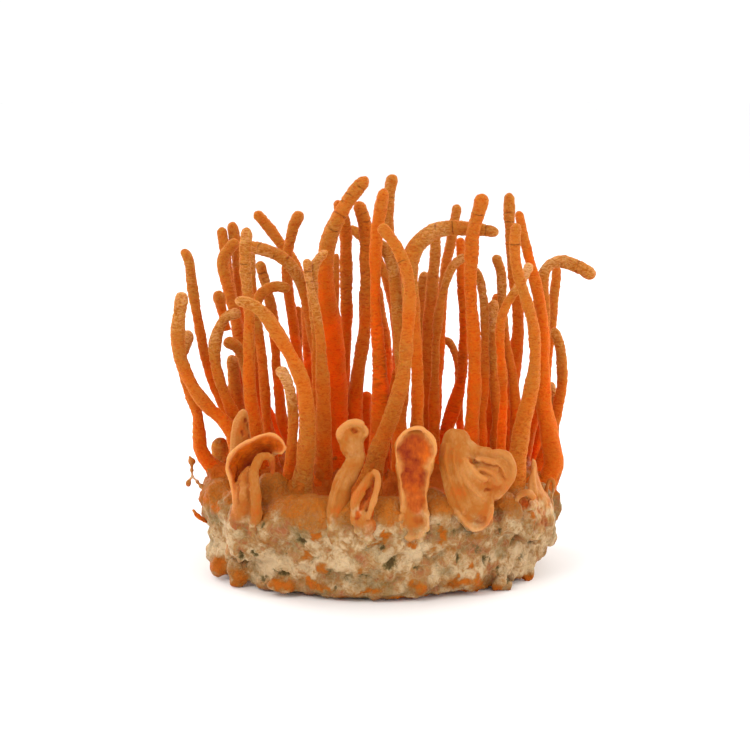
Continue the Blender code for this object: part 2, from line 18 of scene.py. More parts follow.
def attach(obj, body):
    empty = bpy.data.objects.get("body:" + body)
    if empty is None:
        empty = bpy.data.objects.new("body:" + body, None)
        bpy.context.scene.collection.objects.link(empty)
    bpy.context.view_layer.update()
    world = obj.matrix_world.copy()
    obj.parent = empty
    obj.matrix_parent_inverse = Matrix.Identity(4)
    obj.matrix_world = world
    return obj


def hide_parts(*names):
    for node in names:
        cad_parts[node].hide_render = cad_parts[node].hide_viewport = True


bl_info = {
    "name": "Cordyceps Bunch",
    "version": (1, 0, 0),
    "blender": (4, 5, 0),
    "location": "3D Viewport > Sidebar > Cordyceps",
    "description": "Builds the skin of the clubs, the lobes and the grain cake of a cordyceps bunch",
    "category": "Add Mesh",
}

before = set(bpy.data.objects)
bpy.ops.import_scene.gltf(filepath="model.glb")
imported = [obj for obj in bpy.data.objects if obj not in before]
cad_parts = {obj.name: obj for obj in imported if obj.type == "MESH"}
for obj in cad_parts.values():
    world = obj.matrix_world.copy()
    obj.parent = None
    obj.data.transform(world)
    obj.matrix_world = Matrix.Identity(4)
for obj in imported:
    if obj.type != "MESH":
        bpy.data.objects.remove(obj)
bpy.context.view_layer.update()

MM = 0.001
BODY = "root"

# Where the bunch is looked at from: places on it are given as (across, up) seen from there
EYE_DISTANCE = 480.0
EYE_ELEVATION = math.radians(9.0)
FORWARD = Vector((0.0, math.cos(EYE_ELEVATION), -math.sin(EYE_ELEVATION)))
UPWARD = Vector((0.0, math.sin(EYE_ELEVATION), math.cos(EYE_ELEVATION)))
AIM = Vector((-0.46, 0.0, 44.1))
AIM_UP = 51.75
EYE = AIM - FORWARD * EYE_DISTANCE
SENSOR_WIDTH = 36.0
LENS = 100.17

# The way the clubs stand, as in the solids: leaning outwards, bowing and swaying in depth
CAKE_TOP = 20.2
FOOT_UP = 28.0
FAN = 0.22
BOW = 22.0
BOW_SPACING = 13.0
SWAY = 1.1
CLUB_HEIGHT = 70.0
SEAT_GAP = 0.32

# Their roots go straight down into the cake, or inwards where the foot stands on the rim
ROOT_DEPTH = 3.0
ROOT_INSIDE = 4.5
RIM_REACH = 40.5

# The shape of a club: its round tip, its wider foot, and how oval it is
TIP_ROUND = 0.62
TIP_RINGS = 7
FOOT_SWELL = 0.40
FOOT_SWELL_HEIGHT = 2.6
OVAL = 0.05
OVAL_TURN = 0.09

# What breaks up its skin: size of the lumps, how much closer they lie upwards, and their depth
SWELL_SIZE = 5.5
KNOBS = (1.3, 1.6, 0.07)
FLUTES = (1.5, 0.16, 0.07)
SCALES = (0.85, 2.0, 0.05)

# The folds and cracks that run round it, and the ring-like folds that a club has if it has no others
FOLD_SPACING = 0.95
TIP_WRINKLE = (0.62, 0.99, 0.035)
CRACK_RINGS = np.linspace(-0.5, 0.5, 13)
CRACK_WIDTH = 0.12
LIP_WIDTH = 0.4
LIP_HEIGHT = 0.25
CLOSEST_RINGS = 0.07

# How ochre a club in the middle of the bunch is, and how that changes towards the back and the tip.
# Towards the tip the flesh dries; the rest is painted light: the front clubs are more ochre as
# painted front light, and the feet and back clubs are deep orange, brightened as painted light
# that bounces and shines through between the clubs
MIDDLE_TONE = 0.32
TONE_BY_DEPTH = -0.005
TONE_STEPS = (-0.16, -0.08, 0.0, 0.16, 0.34, 0.42)

# The skirts that the film makes round the feet: the width and the fall of their two slopes, how much
# thinner they get per millimetre up, and the room to the rim that a whole skirt needs
SKIRT_SIDES = 16
SKIRT_RINGS = 26
SKIRT_HEIGHT = 9.0
SKIRT_SLOPES = ((1.7, 1.3), (0.9, 3.4))
SKIRT_THINNING = 0.07
SKIRT_ROOM = 2.6

# Where on the cake things are: distances from its middle and heights between which its side begins,
# the front that the photo shows, and the radius at which the hidden side is unrolled
SIDE_RADII = (29.0, 34.0)
SIDE_HEIGHTS = (19.5, 24.0)
FRONT_DEPTH = -4.0
FRONT_RADIUS = 28.0
BACK_RADIUS = 30.0
UNROLLED_RADIUS = 38.0
PLEATS_ACROSS = (24.0, 29.0)

# Where flesh covers the film: the heights over which the top begins, and the distances from the
# middle over which it gets drier towards the rim
TOP_HEIGHTS = (15.5, 21.0)
DRY_RADII = (25.0, 33.0)

# The grains under the film, large and small, and the seams between the large ones
GRAIN_SIZE = 4.4
SMALL_GRAIN_SIZE = 1.9
SEAM_WIDTH = 0.12

# How soft the edges of marks are: the shares of an ellipse's size between which it fades out
HOLLOW_EDGE = (0.1, 1.35)
HOLLOW_LIP = (1.0, 1.9)
SPOT_EDGE = (0.1, 1.6)
SPOT_LIP = (1.1, 1.8)
PALE_EDGE = (0.2, 1.4)
DENT_EDGE = (0.75, 1.2)

# What is guessed on the sides and back: how many hollows and spots, and the seed for their places
HIDDEN_HOLLOWS = (70, 5)
HIDDEN_SPOTS = (60, 11)
RIM_LUMPS = 28
RIM_LUMP_SEED = 3

# How often the skins grown over forms are smoothed
CAKE_SMOOTHING = 5
LOBE_SMOOTHING = 3

# The heights over which the film on the foot of a lobe ends
FILM_HEIGHTS = (13.0, 24.0)

# The forms that a lobe grows over
LEAF_STEPS = 6
STALK_SIDES = 20
STALK_SPACING = 0.6
BALL_STEPS = 12

# The round board, and the lights: their place and size in metres, the setting for their power, and colour
FLOOR_SIDES = 96
LIGHTS = {
    "key light": ((-0.45, -0.75, 0.75), 0.5, "key_power", "#FFFFFF"),
    "fill light": ((0.75, -0.5, 0.35), 0.6, "fill_power", "#FFFDF8"),
    "back light right": ((0.7, 0.55, 0.35), 0.5, "back_power", "#FFFFFF"),
    "back light left": ((-0.7, 0.55, 0.35), 0.5, "back_power", "#FFFFFF"),
}

# Each club: foot (across, depth behind the middle), thickness from foot to tip, and the points
# (across, up) that its middle line passes as seen from the front, ending at the very tip.
CLUBS = {
    "club_01": ((-31.5, -9), (3.6, 3.2, 3.2, 3.1, 2.9), (
        (-33.2, 38), (-35.5, 41.3), (-38.4, 44), (-41.1, 47.2), (-43.2, 50.8), (-44.8, 54.8), (-45.8, 59),
        (-45.8, 63), (-45.3, 67), (-44.6, 70.8))),
    "club_02": ((-35.5, -1), (3.8, 3.4, 2.9, 2.6, 2.0, 2.8), (
        (-38.6, 31.5), (-40.5, 35), (-41, 39), (-41.4, 43), (-42.9, 47), (-44.3, 51), (-44.9, 55),
        (-44.2, 58.5), (-43.2, 62))),
    "club_03": ((-30.5, 4), (2.4, 2.0, 1.9, 2.0, 2.4, 2.4), (
        (-33, 39.5), (-35, 43.5), (-36.4, 46.6), (-37.8, 50), (-39, 54), (-39.9, 58), (-40.8, 62.5),
        (-41.7, 67), (-42.4, 71.5), (-42.8, 75.5), (-43.4, 78.2), (-44.8, 80.6))),
    "club_04": ((-30, -4), (2.9, 2.6, 2.5, 2.6, 2.6), (
        (-31.6, 40), (-33.6, 44), (-35.4, 48.5), (-36.8, 53), (-37.4, 57), (-37, 60.3), (-36, 63),
        (-34.4, 65.2), (-31.2, 66.1))),
    "club_05": ((-27.5, 6), (2.8, 2.6, 2.7, 2.8), (
        (-29.2, 45), (-30, 52), (-31, 56.2), (-32.7, 58.6), (-35.3, 59.6))),
    "club_06": ((-28.5, 14.5), (3.6, 3.3, 3.2, 3.0), (
        (-31.9, 44), (-32.7, 49), (-33.1, 53), (-33.5, 56.4))),
    "club_07": ((-26, 23.2), (2.6, 2.4, 2.4, 2.4), (
        (-29.5, 50), (-31.5, 60), (-33, 68), (-34.4, 75), (-34.9, 79.5), (-35.8, 85.8))),
    "club_08": ((-24, 17.5), (2.6, 2.6, 2.6, 2.7, 2.6), (
        (-29.5, 46), (-31, 54), (-31.8, 61), (-32.6, 66), (-33.8, 70.5), (-35, 74.5), (-35.5, 77.4),
        (-34.9, 79.8), (-32, 82.8))),
    "club_09": ((-20, 30), (2.6, 2.3, 2.2, 2.7), (
        (-28.5, 50), (-31, 62), (-31.8, 70), (-32.2, 77), (-32.6, 82), (-33.3, 87))),
    "club_10": ((-25.5, -9), (3.4, 2.8, 2.6, 2.6, 2.6), (
        (-28, 40), (-29.1, 46), (-29.5, 52), (-29.5, 58), (-29.4, 64), (-29.6, 69), (-30, 73), (-30.3, 77),
        (-30.3, 81), (-29.9, 85.7))),
    "club_11": ((-22, 9), (2.6, 2.3, 2.2, 2.2), (
        (-26.6, 46), (-27.2, 54), (-27.8, 62), (-28.4, 70), (-28.9, 76), (-29.3, 80.8))),
    "club_12": ((-17.5, 12.5), (2.8, 2.5, 2.3, 2.4), (
        (-21.7, 41), (-22.6, 48), (-23, 54), (-23.5, 61), (-24.5, 68), (-25.5, 72), (-26.3, 75),
        (-27, 78))),
    "club_13": ((-23.5, 1), (2.6, 2.4, 2.2, 2.3, 2.3), (
        (-25.2, 40), (-25.9, 50), (-26.7, 58), (-27.7, 64), (-28, 67.4), (-27, 69.8), (-25.2, 71.4),
        (-23, 72.1), (-19.9, 71.6))),
    "club_14": ((-17.5, -26), (4.6, 4.2, 3.4, 3.2, 3.1, 2.6), (
        (-16.4, 33), (-15.8, 38), (-16, 42), (-16.3, 46), (-16.9, 49), (-18, 52.3), (-19.6, 55.7),
        (-21.4, 58.8), (-23.2, 61.8), (-25, 64.6), (-27.2, 67), (-29.8, 68.4), (-32.7, 69))),
    "club_15": ((-20.5, -19.5), (2.9, 2.5, 2.1, 2.5), (
        (-19.6, 36), (-19.3, 41), (-19.6, 45.5), (-20.3, 49), (-21.3, 51.4), (-22.9, 53.5))),
    "club_16": ((-9, 29.5), (2.6, 2.4, 2.4, 2.5), (
        (-12.2, 50), (-14, 60), (-15.7, 68), (-17.7, 74.5), (-20, 79), (-22.8, 83), (-25.2, 86),
        (-28.1, 89.3))),
    "club_17": ((-14, 20.5), (2.9, 2.4, 2.3, 2.5), (
        (-17, 46), (-18.2, 55), (-19, 61), (-19.8, 67), (-20.6, 73), (-20.7, 78), (-20.1, 82), (-19.1, 86),
        (-17.4, 89.3))),
    "club_18": ((-12.5, 4), (2.8, 2.5, 2.5, 2.6, 2.6), (
        (-13.2, 50), (-14.3, 57), (-15.1, 63), (-16, 68), (-17.2, 72), (-18.7, 75.3), (-20.8, 77.9),
        (-23.6, 79.7), (-26.4, 80.7), (-29.9, 81.5))),
    "club_19": ((-12.5, -15.5), (4.6, 4.0, 3.2, 2.4, 1.8, 1.8), (
        (-12.3, 42), (-12.5, 48), (-12.7, 54), (-13, 60), (-13.9, 66), (-14.9, 70.5), (-15.7, 74),
        (-16.2, 78.5))),
    "club_20": ((-8.5, -2), (4.6, 4.4, 4.6, 4.6, 4.0, 3.6, 3.0), (
        (-9.1, 43), (-9.3, 50), (-9.8, 57), (-10.5, 63), (-11.3, 68), (-11.9, 73), (-12, 77), (-11.6, 81),
        (-10.6, 84.4), (-9.1, 87.7), (-7.3, 90.7), (-5.2, 93.8), (-2.2, 97.3))),
    "club_21": ((-14, -8.5), (2.8, 2.6, 2.5, 2.4), (
        (-13.8, 50), (-13.8, 58), (-14.4, 66), (-14.9, 71), (-14.8, 74.8), (-13.9, 77.6), (-11.5, 80.4))),
    "club_22": ((-7, 12), (3.2, 2.8, 2.8, 2.8, 2.6), (
        (-8, 45), (-7.7, 52), (-7.2, 60), (-7, 66), (-7.1, 72), (-7.1, 78), (-7.1, 83), (-7.5, 87),
        (-8.3, 89.6), (-9.4, 91.9))),
    "club_23": ((-4.5, 3.5), (4.2, 3.8, 3.2, 3.1, 3.0, 2.9), (
        (-5.2, 42), (-4.9, 48), (-4.1, 54), (-3.2, 60), (-2.6, 66), (-2.4, 72), (-2.4, 78), (-2.5, 83),
        (-2.9, 87), (-4.5, 91.7))),
    "club_24": ((3.5, 22), (2.8, 2.6, 2.4, 2.0), (
        (4.8, 50), (4.8, 58), (4.3, 65), (3.4, 70), (2, 74.5), (0.3, 78), (-1.5, 81), (-3.5, 83.6),
        (-6.5, 85.8))),
    "club_25": ((0, -7.5), (4.8, 4.5, 4.2, 3.0, 2.3, 2.3, 3.0, 2.9), (
        (0.6, 41), (0.9, 46), (0.8, 51), (0.5, 56), (0.1, 61), (-0.2, 66), (-0.3, 71), (-0.3, 76),
        (-0.3, 80), (-0.1, 84), (0.4, 88), (1.7, 94.6))),
    "club_26": ((4.5, 12), (2.8, 2.6, 2.4, 2.2, 2.9), (
        (5.8, 50), (5.9, 60), (5.6, 66), (5.1, 72), (4.3, 77), (3.5, 81), (2.8, 85), (2.5, 89), (2.8, 93),
        (3.8, 97.9))),
    "club_27": ((-2.5, -23.5), (5.2, 4.2, 3.6, 3.2, 3.0, 3.1, 2.7), (
        (0.6, 35), (2.2, 39.5), (3.8, 43.5), (5.2, 48), (6.2, 53), (6.8, 58), (7.2, 63), (7.5, 68),
        (7.4, 72), (6.8, 75.5), (5.7, 78.6), (4.3, 81.4), (2.6, 83.9), (0.5, 86.2))),
    "club_28": ((4.5, -12.4), (3.2, 3.0, 2.9, 2.8), (
        (5.7, 48), (5.5, 55), (5.1, 61), (4.8, 66), (4.5, 70.5), (4, 74.5), (3, 78.2), (1.6, 80.8),
        (-0.7, 82.3))),
    "club_29": ((8.5, -19), (3.6, 3.2, 3.0, 2.9, 3.3, 3.7, 3.8, 3.6, 2.8), (
        (9.2, 42), (9.4, 48), (9.3, 54), (8.7, 60), (8.1, 66), (7.7, 71), (7.6, 75), (7.8, 78), (8.7, 80.8),
        (10.5, 83), (13, 84.8), (16, 85.5), (19, 85.6), (22, 85.4), (25, 85), (28, 84.4))),
    "club_30": ((8, 13), (2.6, 2.4, 2.2, 2.2), (
        (10.3, 48), (10.2, 56), (9.9, 63), (9.9, 68), (10.3, 72), (11, 75.6))),
    "club_31": ((11.5, 2.5), (4.2, 3.8, 3.5, 3.0, 2.7, 2.5), (
        (11.7, 45), (11.6, 52), (11.6, 58), (11.9, 63), (12.4, 68), (12.9, 74), (13.3, 79), (13.6, 86))),
    "club_32": ((12, 20), (2.6, 2.3, 2.2, 2.5), (
        (13.7, 44), (13.9, 51), (14.4, 58), (14.8, 65), (15.4, 73), (16.2, 78.5), (17, 82.5), (18.6, 91))),
    "club_33": ((13, -5), (3.2, 2.6, 2.2, 2.1, 2.1), (
        (13.1, 44), (13.3, 50), (13.5, 57), (13.8, 62), (14.3, 66.5), (15, 70), (15.8, 73), (16.8, 75.7),
        (18.2, 77.7), (20.6, 79.1))),
    "club_34": ((21, -13), (4.0, 3.6, 3.2, 2.9, 2.8, 2.9, 3.1), (
        (21.8, 38), (22, 43), (22.3, 48), (22.4, 54), (22.2, 60), (21.9, 65), (21.6, 70), (21.5, 75),
        (21.7, 79), (21.9, 83), (22.4, 86), (23.1, 88.7), (24.5, 93.4))),
    "club_35": ((15, 8.5), (3.8, 3.5, 2.6, 2.1, 1.9, 1.9), (
        (16.2, 39.5), (17.3, 43), (18.6, 47), (19.4, 51), (19.8, 56), (20, 61), (19.9, 66), (19.5, 71),
        (19.3, 75), (19.2, 83.4))),
    "club_36": ((19.5, 23), (2.2, 1.9, 1.8, 1.8), (
        (18.9, 46), (18.9, 51), (18.5, 54.7), (17.7, 57.5), (16.7, 59.2), (15.1, 60))),
    "club_37": ((24, 0), (2.6, 2.3, 2.1, 2.0), (
        (24, 42), (24.6, 48), (24.9, 54), (24.9, 60), (24.8, 66), (24.4, 70), (23.8, 73.3), (22.4, 76.5))),
    "club_38": ((27, -7.5), (3.0, 2.5, 2.2, 2.2), (
        (27.6, 42), (27.2, 47), (26.9, 52), (26.8, 57), (26.8, 62), (26.8, 69.1))),
    "club_39": ((23, 26), (2.4, 2.1, 2.0, 2.0), (
        (26, 48), (26.6, 58), (27.1, 65), (27.7, 70.5))),
    "club_40": ((32, -1), (2.9, 2.6, 2.3, 2.1, 2.1), (
        (31.8, 42), (31.6, 47), (31.1, 51.5), (30.3, 56), (29.5, 60.5), (29, 65), (28.8, 69), (28.7, 73),
        (28.3, 76), (27.1, 79.4))),
    "club_41": ((28, -14.5), (2.5, 2.1, 1.9, 1.9, 2.0), (
        (28.9, 42), (29.1, 47), (28.8, 52), (28.4, 57), (28.2, 61), (28.5, 64), (29.4, 67), (30.8, 69.5),
        (32.3, 71.7), (33.6, 74), (35.3, 77.5))),
    "club_42": ((26.5, 11), (3.6, 3.8, 3.4, 2.5, 2.4, 2.8), (
        (30.8, 50), (31.7, 56), (32.3, 61), (32.4, 66), (31.9, 71), (31.2, 76), (30.8, 80), (30.6, 85),
        (30.4, 93.7))),
    "club_43": ((30.5, -22), (4.4, 4.1, 3.4, 2.8, 2.6, 2.6, 2.5), (
        (31.4, 27), (32, 31), (32.6, 35), (33.3, 39), (34.2, 43), (35.2, 47), (36, 51), (36.4, 55),
        (36.3, 59), (35.8, 63), (34.9, 67), (33.7, 71), (32.6, 74.6), (31.9, 78), (31.8, 82), (32, 86.7))),
    "club_44": ((39.2, -5), (4.7, 4.5, 4.0, 3.4, 3.1, 3.0, 2.7, 2.2, 2.0), (
        (40.5, 31), (40.2, 34.5), (39.4, 39), (38.6, 43.5), (38.3, 48), (38.3, 54), (38.2, 60),
        (37.8, 65.5), (37, 70.5), (36, 75), (34.9, 79), (33.9, 82.7), (33.2, 86), (32.5, 89.5))),
    "club_45": ((33, 9), (2.8, 2.5, 2.4, 2.5, 2.7, 2.8), (
        (36.8, 44), (38, 52), (38.6, 58), (38.6, 64), (38.3, 69), (38, 73), (38.6, 75.7), (40.2, 77.3),
        (42.2, 77.8), (44.5, 77.3), (47, 76.3), (50.2, 74.3))),
    "club_46": ((30.5, 18), (2.6, 2.2, 1.9, 2.0), (
        (37.3, 40), (38.2, 46), (39, 52), (39.7, 58), (40.3, 64), (40.8, 70), (41.4, 77))),
    "club_47": ((37, 4), (2.8, 2.4, 2.4, 2.3), (
        (39.6, 37), (40.8, 41), (41.7, 45), (42.4, 49), (42.6, 53), (42.3, 57), (41.6, 60), (40.4, 62.6))),
    "club_48": ((-32, 11.5), (4.2, 4.0, 3.6), (
        (-35.6, 33.5), (-36.4, 37.4))),
    "club_49": ((-13, 34), (2.4, 2.2, 2.1), (
        (-15.3, 50), (-16.1, 60), (-16.7, 68))),
    "club_50": ((0.5, 31), (2.9, 2.6, 2.4), (
        (2.6, 50), (2.2, 59), (0.9, 66), (0.1, 72.5))),
    "club_51": ((10.5, 31), (1.9, 1.6, 1.5), (
        (13.6, 50), (14.3, 62), (14.9, 71), (15.5, 79))),
}

# Cracks that run round a club, darkened with painted shade, at the places (across, up) where they are seen
CRACKS = {
    "club_10": ((-30.5, 79.7), (-30.3, 77.6), (-30.0, 75.4)),
    "club_12": ((-26.7, 74.9),),
    "club_18": ((-27.2, 81.3), (-23.6, 79.7), (-20.9, 78.2)),
    "club_19": ((-16.3, 75.6), (-15.6, 73.2)),
    "club_20": ((-4.4, 95.4), (-6.2, 93.0), (-6.9, 91.4), (-8.5, 88.7), (-10.4, 85.4)),
    "club_22": ((-8.2, 89.2), (-7.4, 86.4)),
    "club_23": ((-3.2, 89.0), (-2.8, 87.3)),
    "club_26": ((2.8, 92.6),),
    "club_27": ((4.8, 81.2), (6.0, 78.0)),
    "club_29": ((13.8, 84.6), (17.3, 86.0), (24.8, 84.6)),
    "club_34": ((23.1, 89.2), (22.8, 87.7), (21.6, 81.9)),
    "club_42": ((30.4, 89.1), (30.8, 87.0)),
    "club_43": ((31.7, 81.8),),
    "club_45": ((46.0, 76.6),),
}
# Stretches with ring-like wrinkles: the share of the way up where they start and end, and their depth
WRINKLES = {
    "club_14": (0.0, 0.45, 0.03),
    "club_19": (0.5, 0.95, 0.05),
    "club_22": (0.55, 1.0, 0.10),
    "club_23": (0.62, 0.97, 0.10),
    "club_25": (0.25, 0.62, 0.11),
    "club_27": (0.05, 0.6, 0.03),
    "club_34": (0.55, 0.95, 0.08),
    "club_35": (0.1, 0.9, 0.10),
    "club_42": (0.7, 0.97, 0.05),
    "club_43": (0.1, 0.7, 0.035),
}
# How ochre a club is from foot to tip, where it isn't as its place in the bunch makes it. Like
# the tones by place, these hold painted light as well as the flesh's own colour: more ochre where a
# club takes the front light, deeper orange where it lies in shade
TONES = {
    "club_14": (0.62, 0.60, 0.42, 0.50, 0.78),
    "club_20": (0.12, 0.10, 0.10, 0.25, 0.62, 0.60),
    "club_22": (0.10, 0.15, 0.30, 0.45, 0.50),
    "club_23": (0.15, 0.25, 0.45, 0.50, 0.55),
    "club_25": (0.12, 0.20, 0.20, 0.25, 0.50),
    "club_27": (0.50, 0.52, 0.62, 0.45, 0.50, 0.60),
    "club_29": (0.30, 0.35, 0.35, 0.40, 0.60, 0.72, 0.70),
    "club_34": (0.18, 0.22, 0.32, 0.40, 0.55),
    "club_35": (0.05, 0.08, 0.20, 0.30, 0.40),
    "club_41": (0.20, 0.22, 0.28, 0.35, 0.95),
    "club_43": (0.58, 0.55, 0.50, 0.48, 0.60, 0.62),
    "club_44": (0.35, 0.28, 0.25, 0.35, 0.50),
    "club_45": (0.15, 0.25, 0.35, 0.70, 0.75),
}

# Small buds and threads that are too thin for a solid of their own: points (across, up, depth) from
# foot to tip, thicknesses at even steps, and how ochre they are
BUDS = {
    "low_club_middle": (
        ((-2.2, 24, 12), (-2.3, 33, 13), (-2.5, 41, 14), (-2.4, 48, 14)),
        (3.0, 2.8, 2.4), (0.1, 0.2)),
    "low_club_right": (
        ((26.0, 24, 10), (26.0, 33, 11), (25.6, 42, 12), (25.8, 49, 12)),
        (3.0, 2.6, 2.2), (0.1, 0.2)),
    "low_club_rim": (
        ((29.6, 24, 6), (29.8, 33, 7), (30.2, 40, 7), (30.0, 46, 7)),
        (2.8, 2.4, 2.0), (0.1, 0.2)),
    "thin_bud_left": (
        ((-16.5, 24, 29), (-17.7, 52, 29), (-18, 60, 29), (-18.2, 67.6, 29)),
        (2.0, 1.7, 1.5), (0.1, 0.3, 0.6)),
    "tip_bud_left": (
        ((-34.6, 62, 8), (-35.6, 66, 8), (-36.6, 71.2, 8)),
        (1.6, 2.0, 2.5), (0.3, 0.6)),
    "pale_bud_right": (
        ((35, 25.5, 5), (39.2, 30, 6), (40.6, 37, 7), (41, 43.5, 8), (40.6, 47, 8), (40, 50.2, 8)),
        (2.2, 2.0, 1.8), (0.2, 0.6, 0.9)),
    "bud_middle": (
        ((-8.4, 28, 25), (-9.2, 48, 26), (-9.4, 66, 26), (-9.3, 79.7, 26)),
        (2.2, 1.8, 1.6, 1.5), (0.1, 0.3, 0.6)),
    "stub_middle": (
        ((1.6, 27, 2), (2.2, 40, 1), (3.5, 48, 0), (4.0, 53, 0)),
        (2.4, 2.0, 1.7, 1.4), (0.1, 0.4)),
    "trunk_right": (
        ((31, 25, 12.5), (34.6, 29.5, 13.5), (36.4, 34, 14), (37.2, 40, 14), (37.6, 47, 14)),
        (3.4, 2.8, 2.2), (0.1, 0.2)),
    "filament_left": (
        ((-39.2, 17.9, -9), (-40.4, 18.7, -10), (-41.4, 19.5, -10), (-42.4, 20.9, -10)),
        (0.6, 0.4, 0.3), (0.5, 0.8)),
}
# Swellings that the film makes on the cake: middle (across, up, depth), and half sizes
# across, upwards and in depth
SWELLINGS = (
    (-36.2, 23.6, -15, 3.4, 4.6, 3.4),
    (-33.0, 20.5, -22, 3.0, 4.0, 3.0),
    (-39.3, 23.4, -8, 1.5, 2.3, 2.2),
    (-30.5, 18.0, -29.5, 3.6, 5.0, 3.0),
    (-24.5, 17.0, -32.5, 4.0, 4.0, 2.6),
    (-19.5, 17.8, -33.5, 4.0, 4.4, 2.6),
    (-14.5, 19.0, -34.5, 4.6, 4.4, 2.4),
    (-24.2, 24.0, -27.5, 4.6, 5.2, 3.0),
    (-21.5, 21.0, -31.0, 3.6, 3.4, 2.4),
    (-8.6, 15.0, -35.5, 3.4, 4.6, 2.2),
    (3.4, 19.6, -35.5, 3.6, 4.0, 2.2),
    (12.8, 20.6, -35.5, 3.2, 5.2, 2.2),
    (8.2, 15.5, -35.6, 3.2, 5.0, 2.0),
    (16.5, 17.6, -35.5, 2.4, 4.2, 2.4),
    (29.4, 19.6, -29.0, 3.6, 5.2, 2.8),
    (31.8, 24.0, -24.0, 2.6, 2.8, 2.6),
    (33.6, 17.5, -26.0, 2.6, 4.4, 2.6),
    (37.4, 18.0, -18.5, 2.4, 5.4, 2.6),
    (39.6, 17.0, -11.0, 2.0, 4.6, 3.0),
    (38.7, 22.0, -6.0, 3.3, 5.0, 4.0),
    (38.5, 17.6, -7.0, 2.4, 5.0, 3.6),
    (-36.3, 7.7, -16.5, 2.0, 2.1, 2.2),
    (-32.0, 6.6, -23.0, 2.2, 3.2, 1.9),
    (-21.6, 3.4, -31.5, 3.4, 1.5, 1.6),
    (19.4, 4.4, -31.5, 3.4, 1.6, 2.0),
    (9.6, 3.0, -35.4, 1.6, 1.9, 1.8),
    (28.6, 3.8, -25.5, 2.2, 1.6, 2.0),
    (34.6, 6.4, -17.5, 1.4, 2.4, 1.2),
    (-30.2, 16.0, -27.6, 4.4, 7.0, 4.2),
    (-25.8, 14.0, -29.6, 3.4, 5.0, 3.0),
)

# Hollows where the film has sunk between the grains or torn, as seen from the front:
# middle (across, up), half sizes, tilt in degrees, depth, and how dark their bottom is: grain
# colour, darkened with painted shade where deepest
HOLLOWS = (
    (-17.6, 13.7, 1.9, 0.9, -55, 0.9, 1.0),
    (-21.7, 6.3, 2.4, 0.8, -22, 0.9, 1.0),
    (-28.1, 10.7, 1.1, 0.7, -30, 0.7, 0.9),
    (-31.3, 10.2, 0.8, 1.0, 0, 0.8, 1.0),
    (-30.2, 8.4, 0.6, 1.6, 15, 0.8, 0.8),
    (-26.5, 17.4, 0.9, 0.7, 0, 0.6, 0.8),
    (-20.9, 10.6, 0.9, 0.6, -30, 0.5, 0.7),
    (-26.0, 5.0, 1.6, 0.7, -10, 0.6, 0.8),
    (-14.2, 9.6, 1.8, 0.7, 30, 0.5, 0.55),
    (-4.4, 8.9, 1.2, 1.2, 0, 0.5, 0.45),
    (-3.2, 5.4, 1.8, 0.6, 8, 0.6, 0.8),
    (-6.6, 5.2, 1.6, 1.1, 0, 0.5, 0.5),
    (-10.6, 6.4, 1.2, 0.8, 20, 0.5, 0.6),
    (3.2, 8.3, 2.6, 1.5, 38, 1.1, 1.0),
    (1.3, 12.1, 1.0, 1.0, 20, 0.7, 0.9),
    (9.0, 7.4, 1.7, 0.7, 0, 0.8, 0.9),
    (11.6, 9.4, 1.0, 0.6, -20, 0.4, 0.5),
    (18.2, 9.5, 0.7, 1.6, -10, 0.8, 1.0),
    (23.0, 11.8, 1.1, 1.1, 0, 0.6, 0.7),
    (25.3, 9.2, 0.6, 2.0, -12, 0.9, 0.9),
    (27.6, 7.4, 0.5, 1.4, -8, 0.7, 0.9),
    (31.2, 13.8, 0.5, 1.4, -20, 0.6, 0.8),
    (28.2, 16.2, 0.5, 1.2, -25, 0.6, 0.8),
    (30.4, 4.8, 0.9, 0.7, 0, 0.5, 0.8),
    (33.4, 10.2, 0.5, 1.5, -25, 0.6, 0.7),
    (35.2, 13.5, 0.5, 1.3, -25, 0.6, 0.6),
    (-9.2, 2.8, 1.4, 0.5, 5, 0.4, 0.7),
    (14.2, 17.2, 0.5, 1.0, 10, 0.5, 0.8),
    (17.8, 15.8, 1.0, 0.6, 0, 0.4, 0.7),
)
# Places where the film is thick and pale: middle (across, up), half sizes, tilt
PALE_FILM = (
    (-34.4, 14.0, 3.2, 4.8, -15),
    (-25.6, 9.4, 4.6, 2.6, -15),
    (-29.8, 20.4, 2.4, 4.0, 5),
    (-10.6, 9.0, 4.6, 3.6, 0),
    (8.4, 12.2, 4.6, 3.0, 0),
    (20.0, 7.0, 3.4, 3.0, 0),
    (32.8, 9.6, 4.2, 7.4, -25),
    (37.2, 15.0, 2.4, 5.4, -20),
)
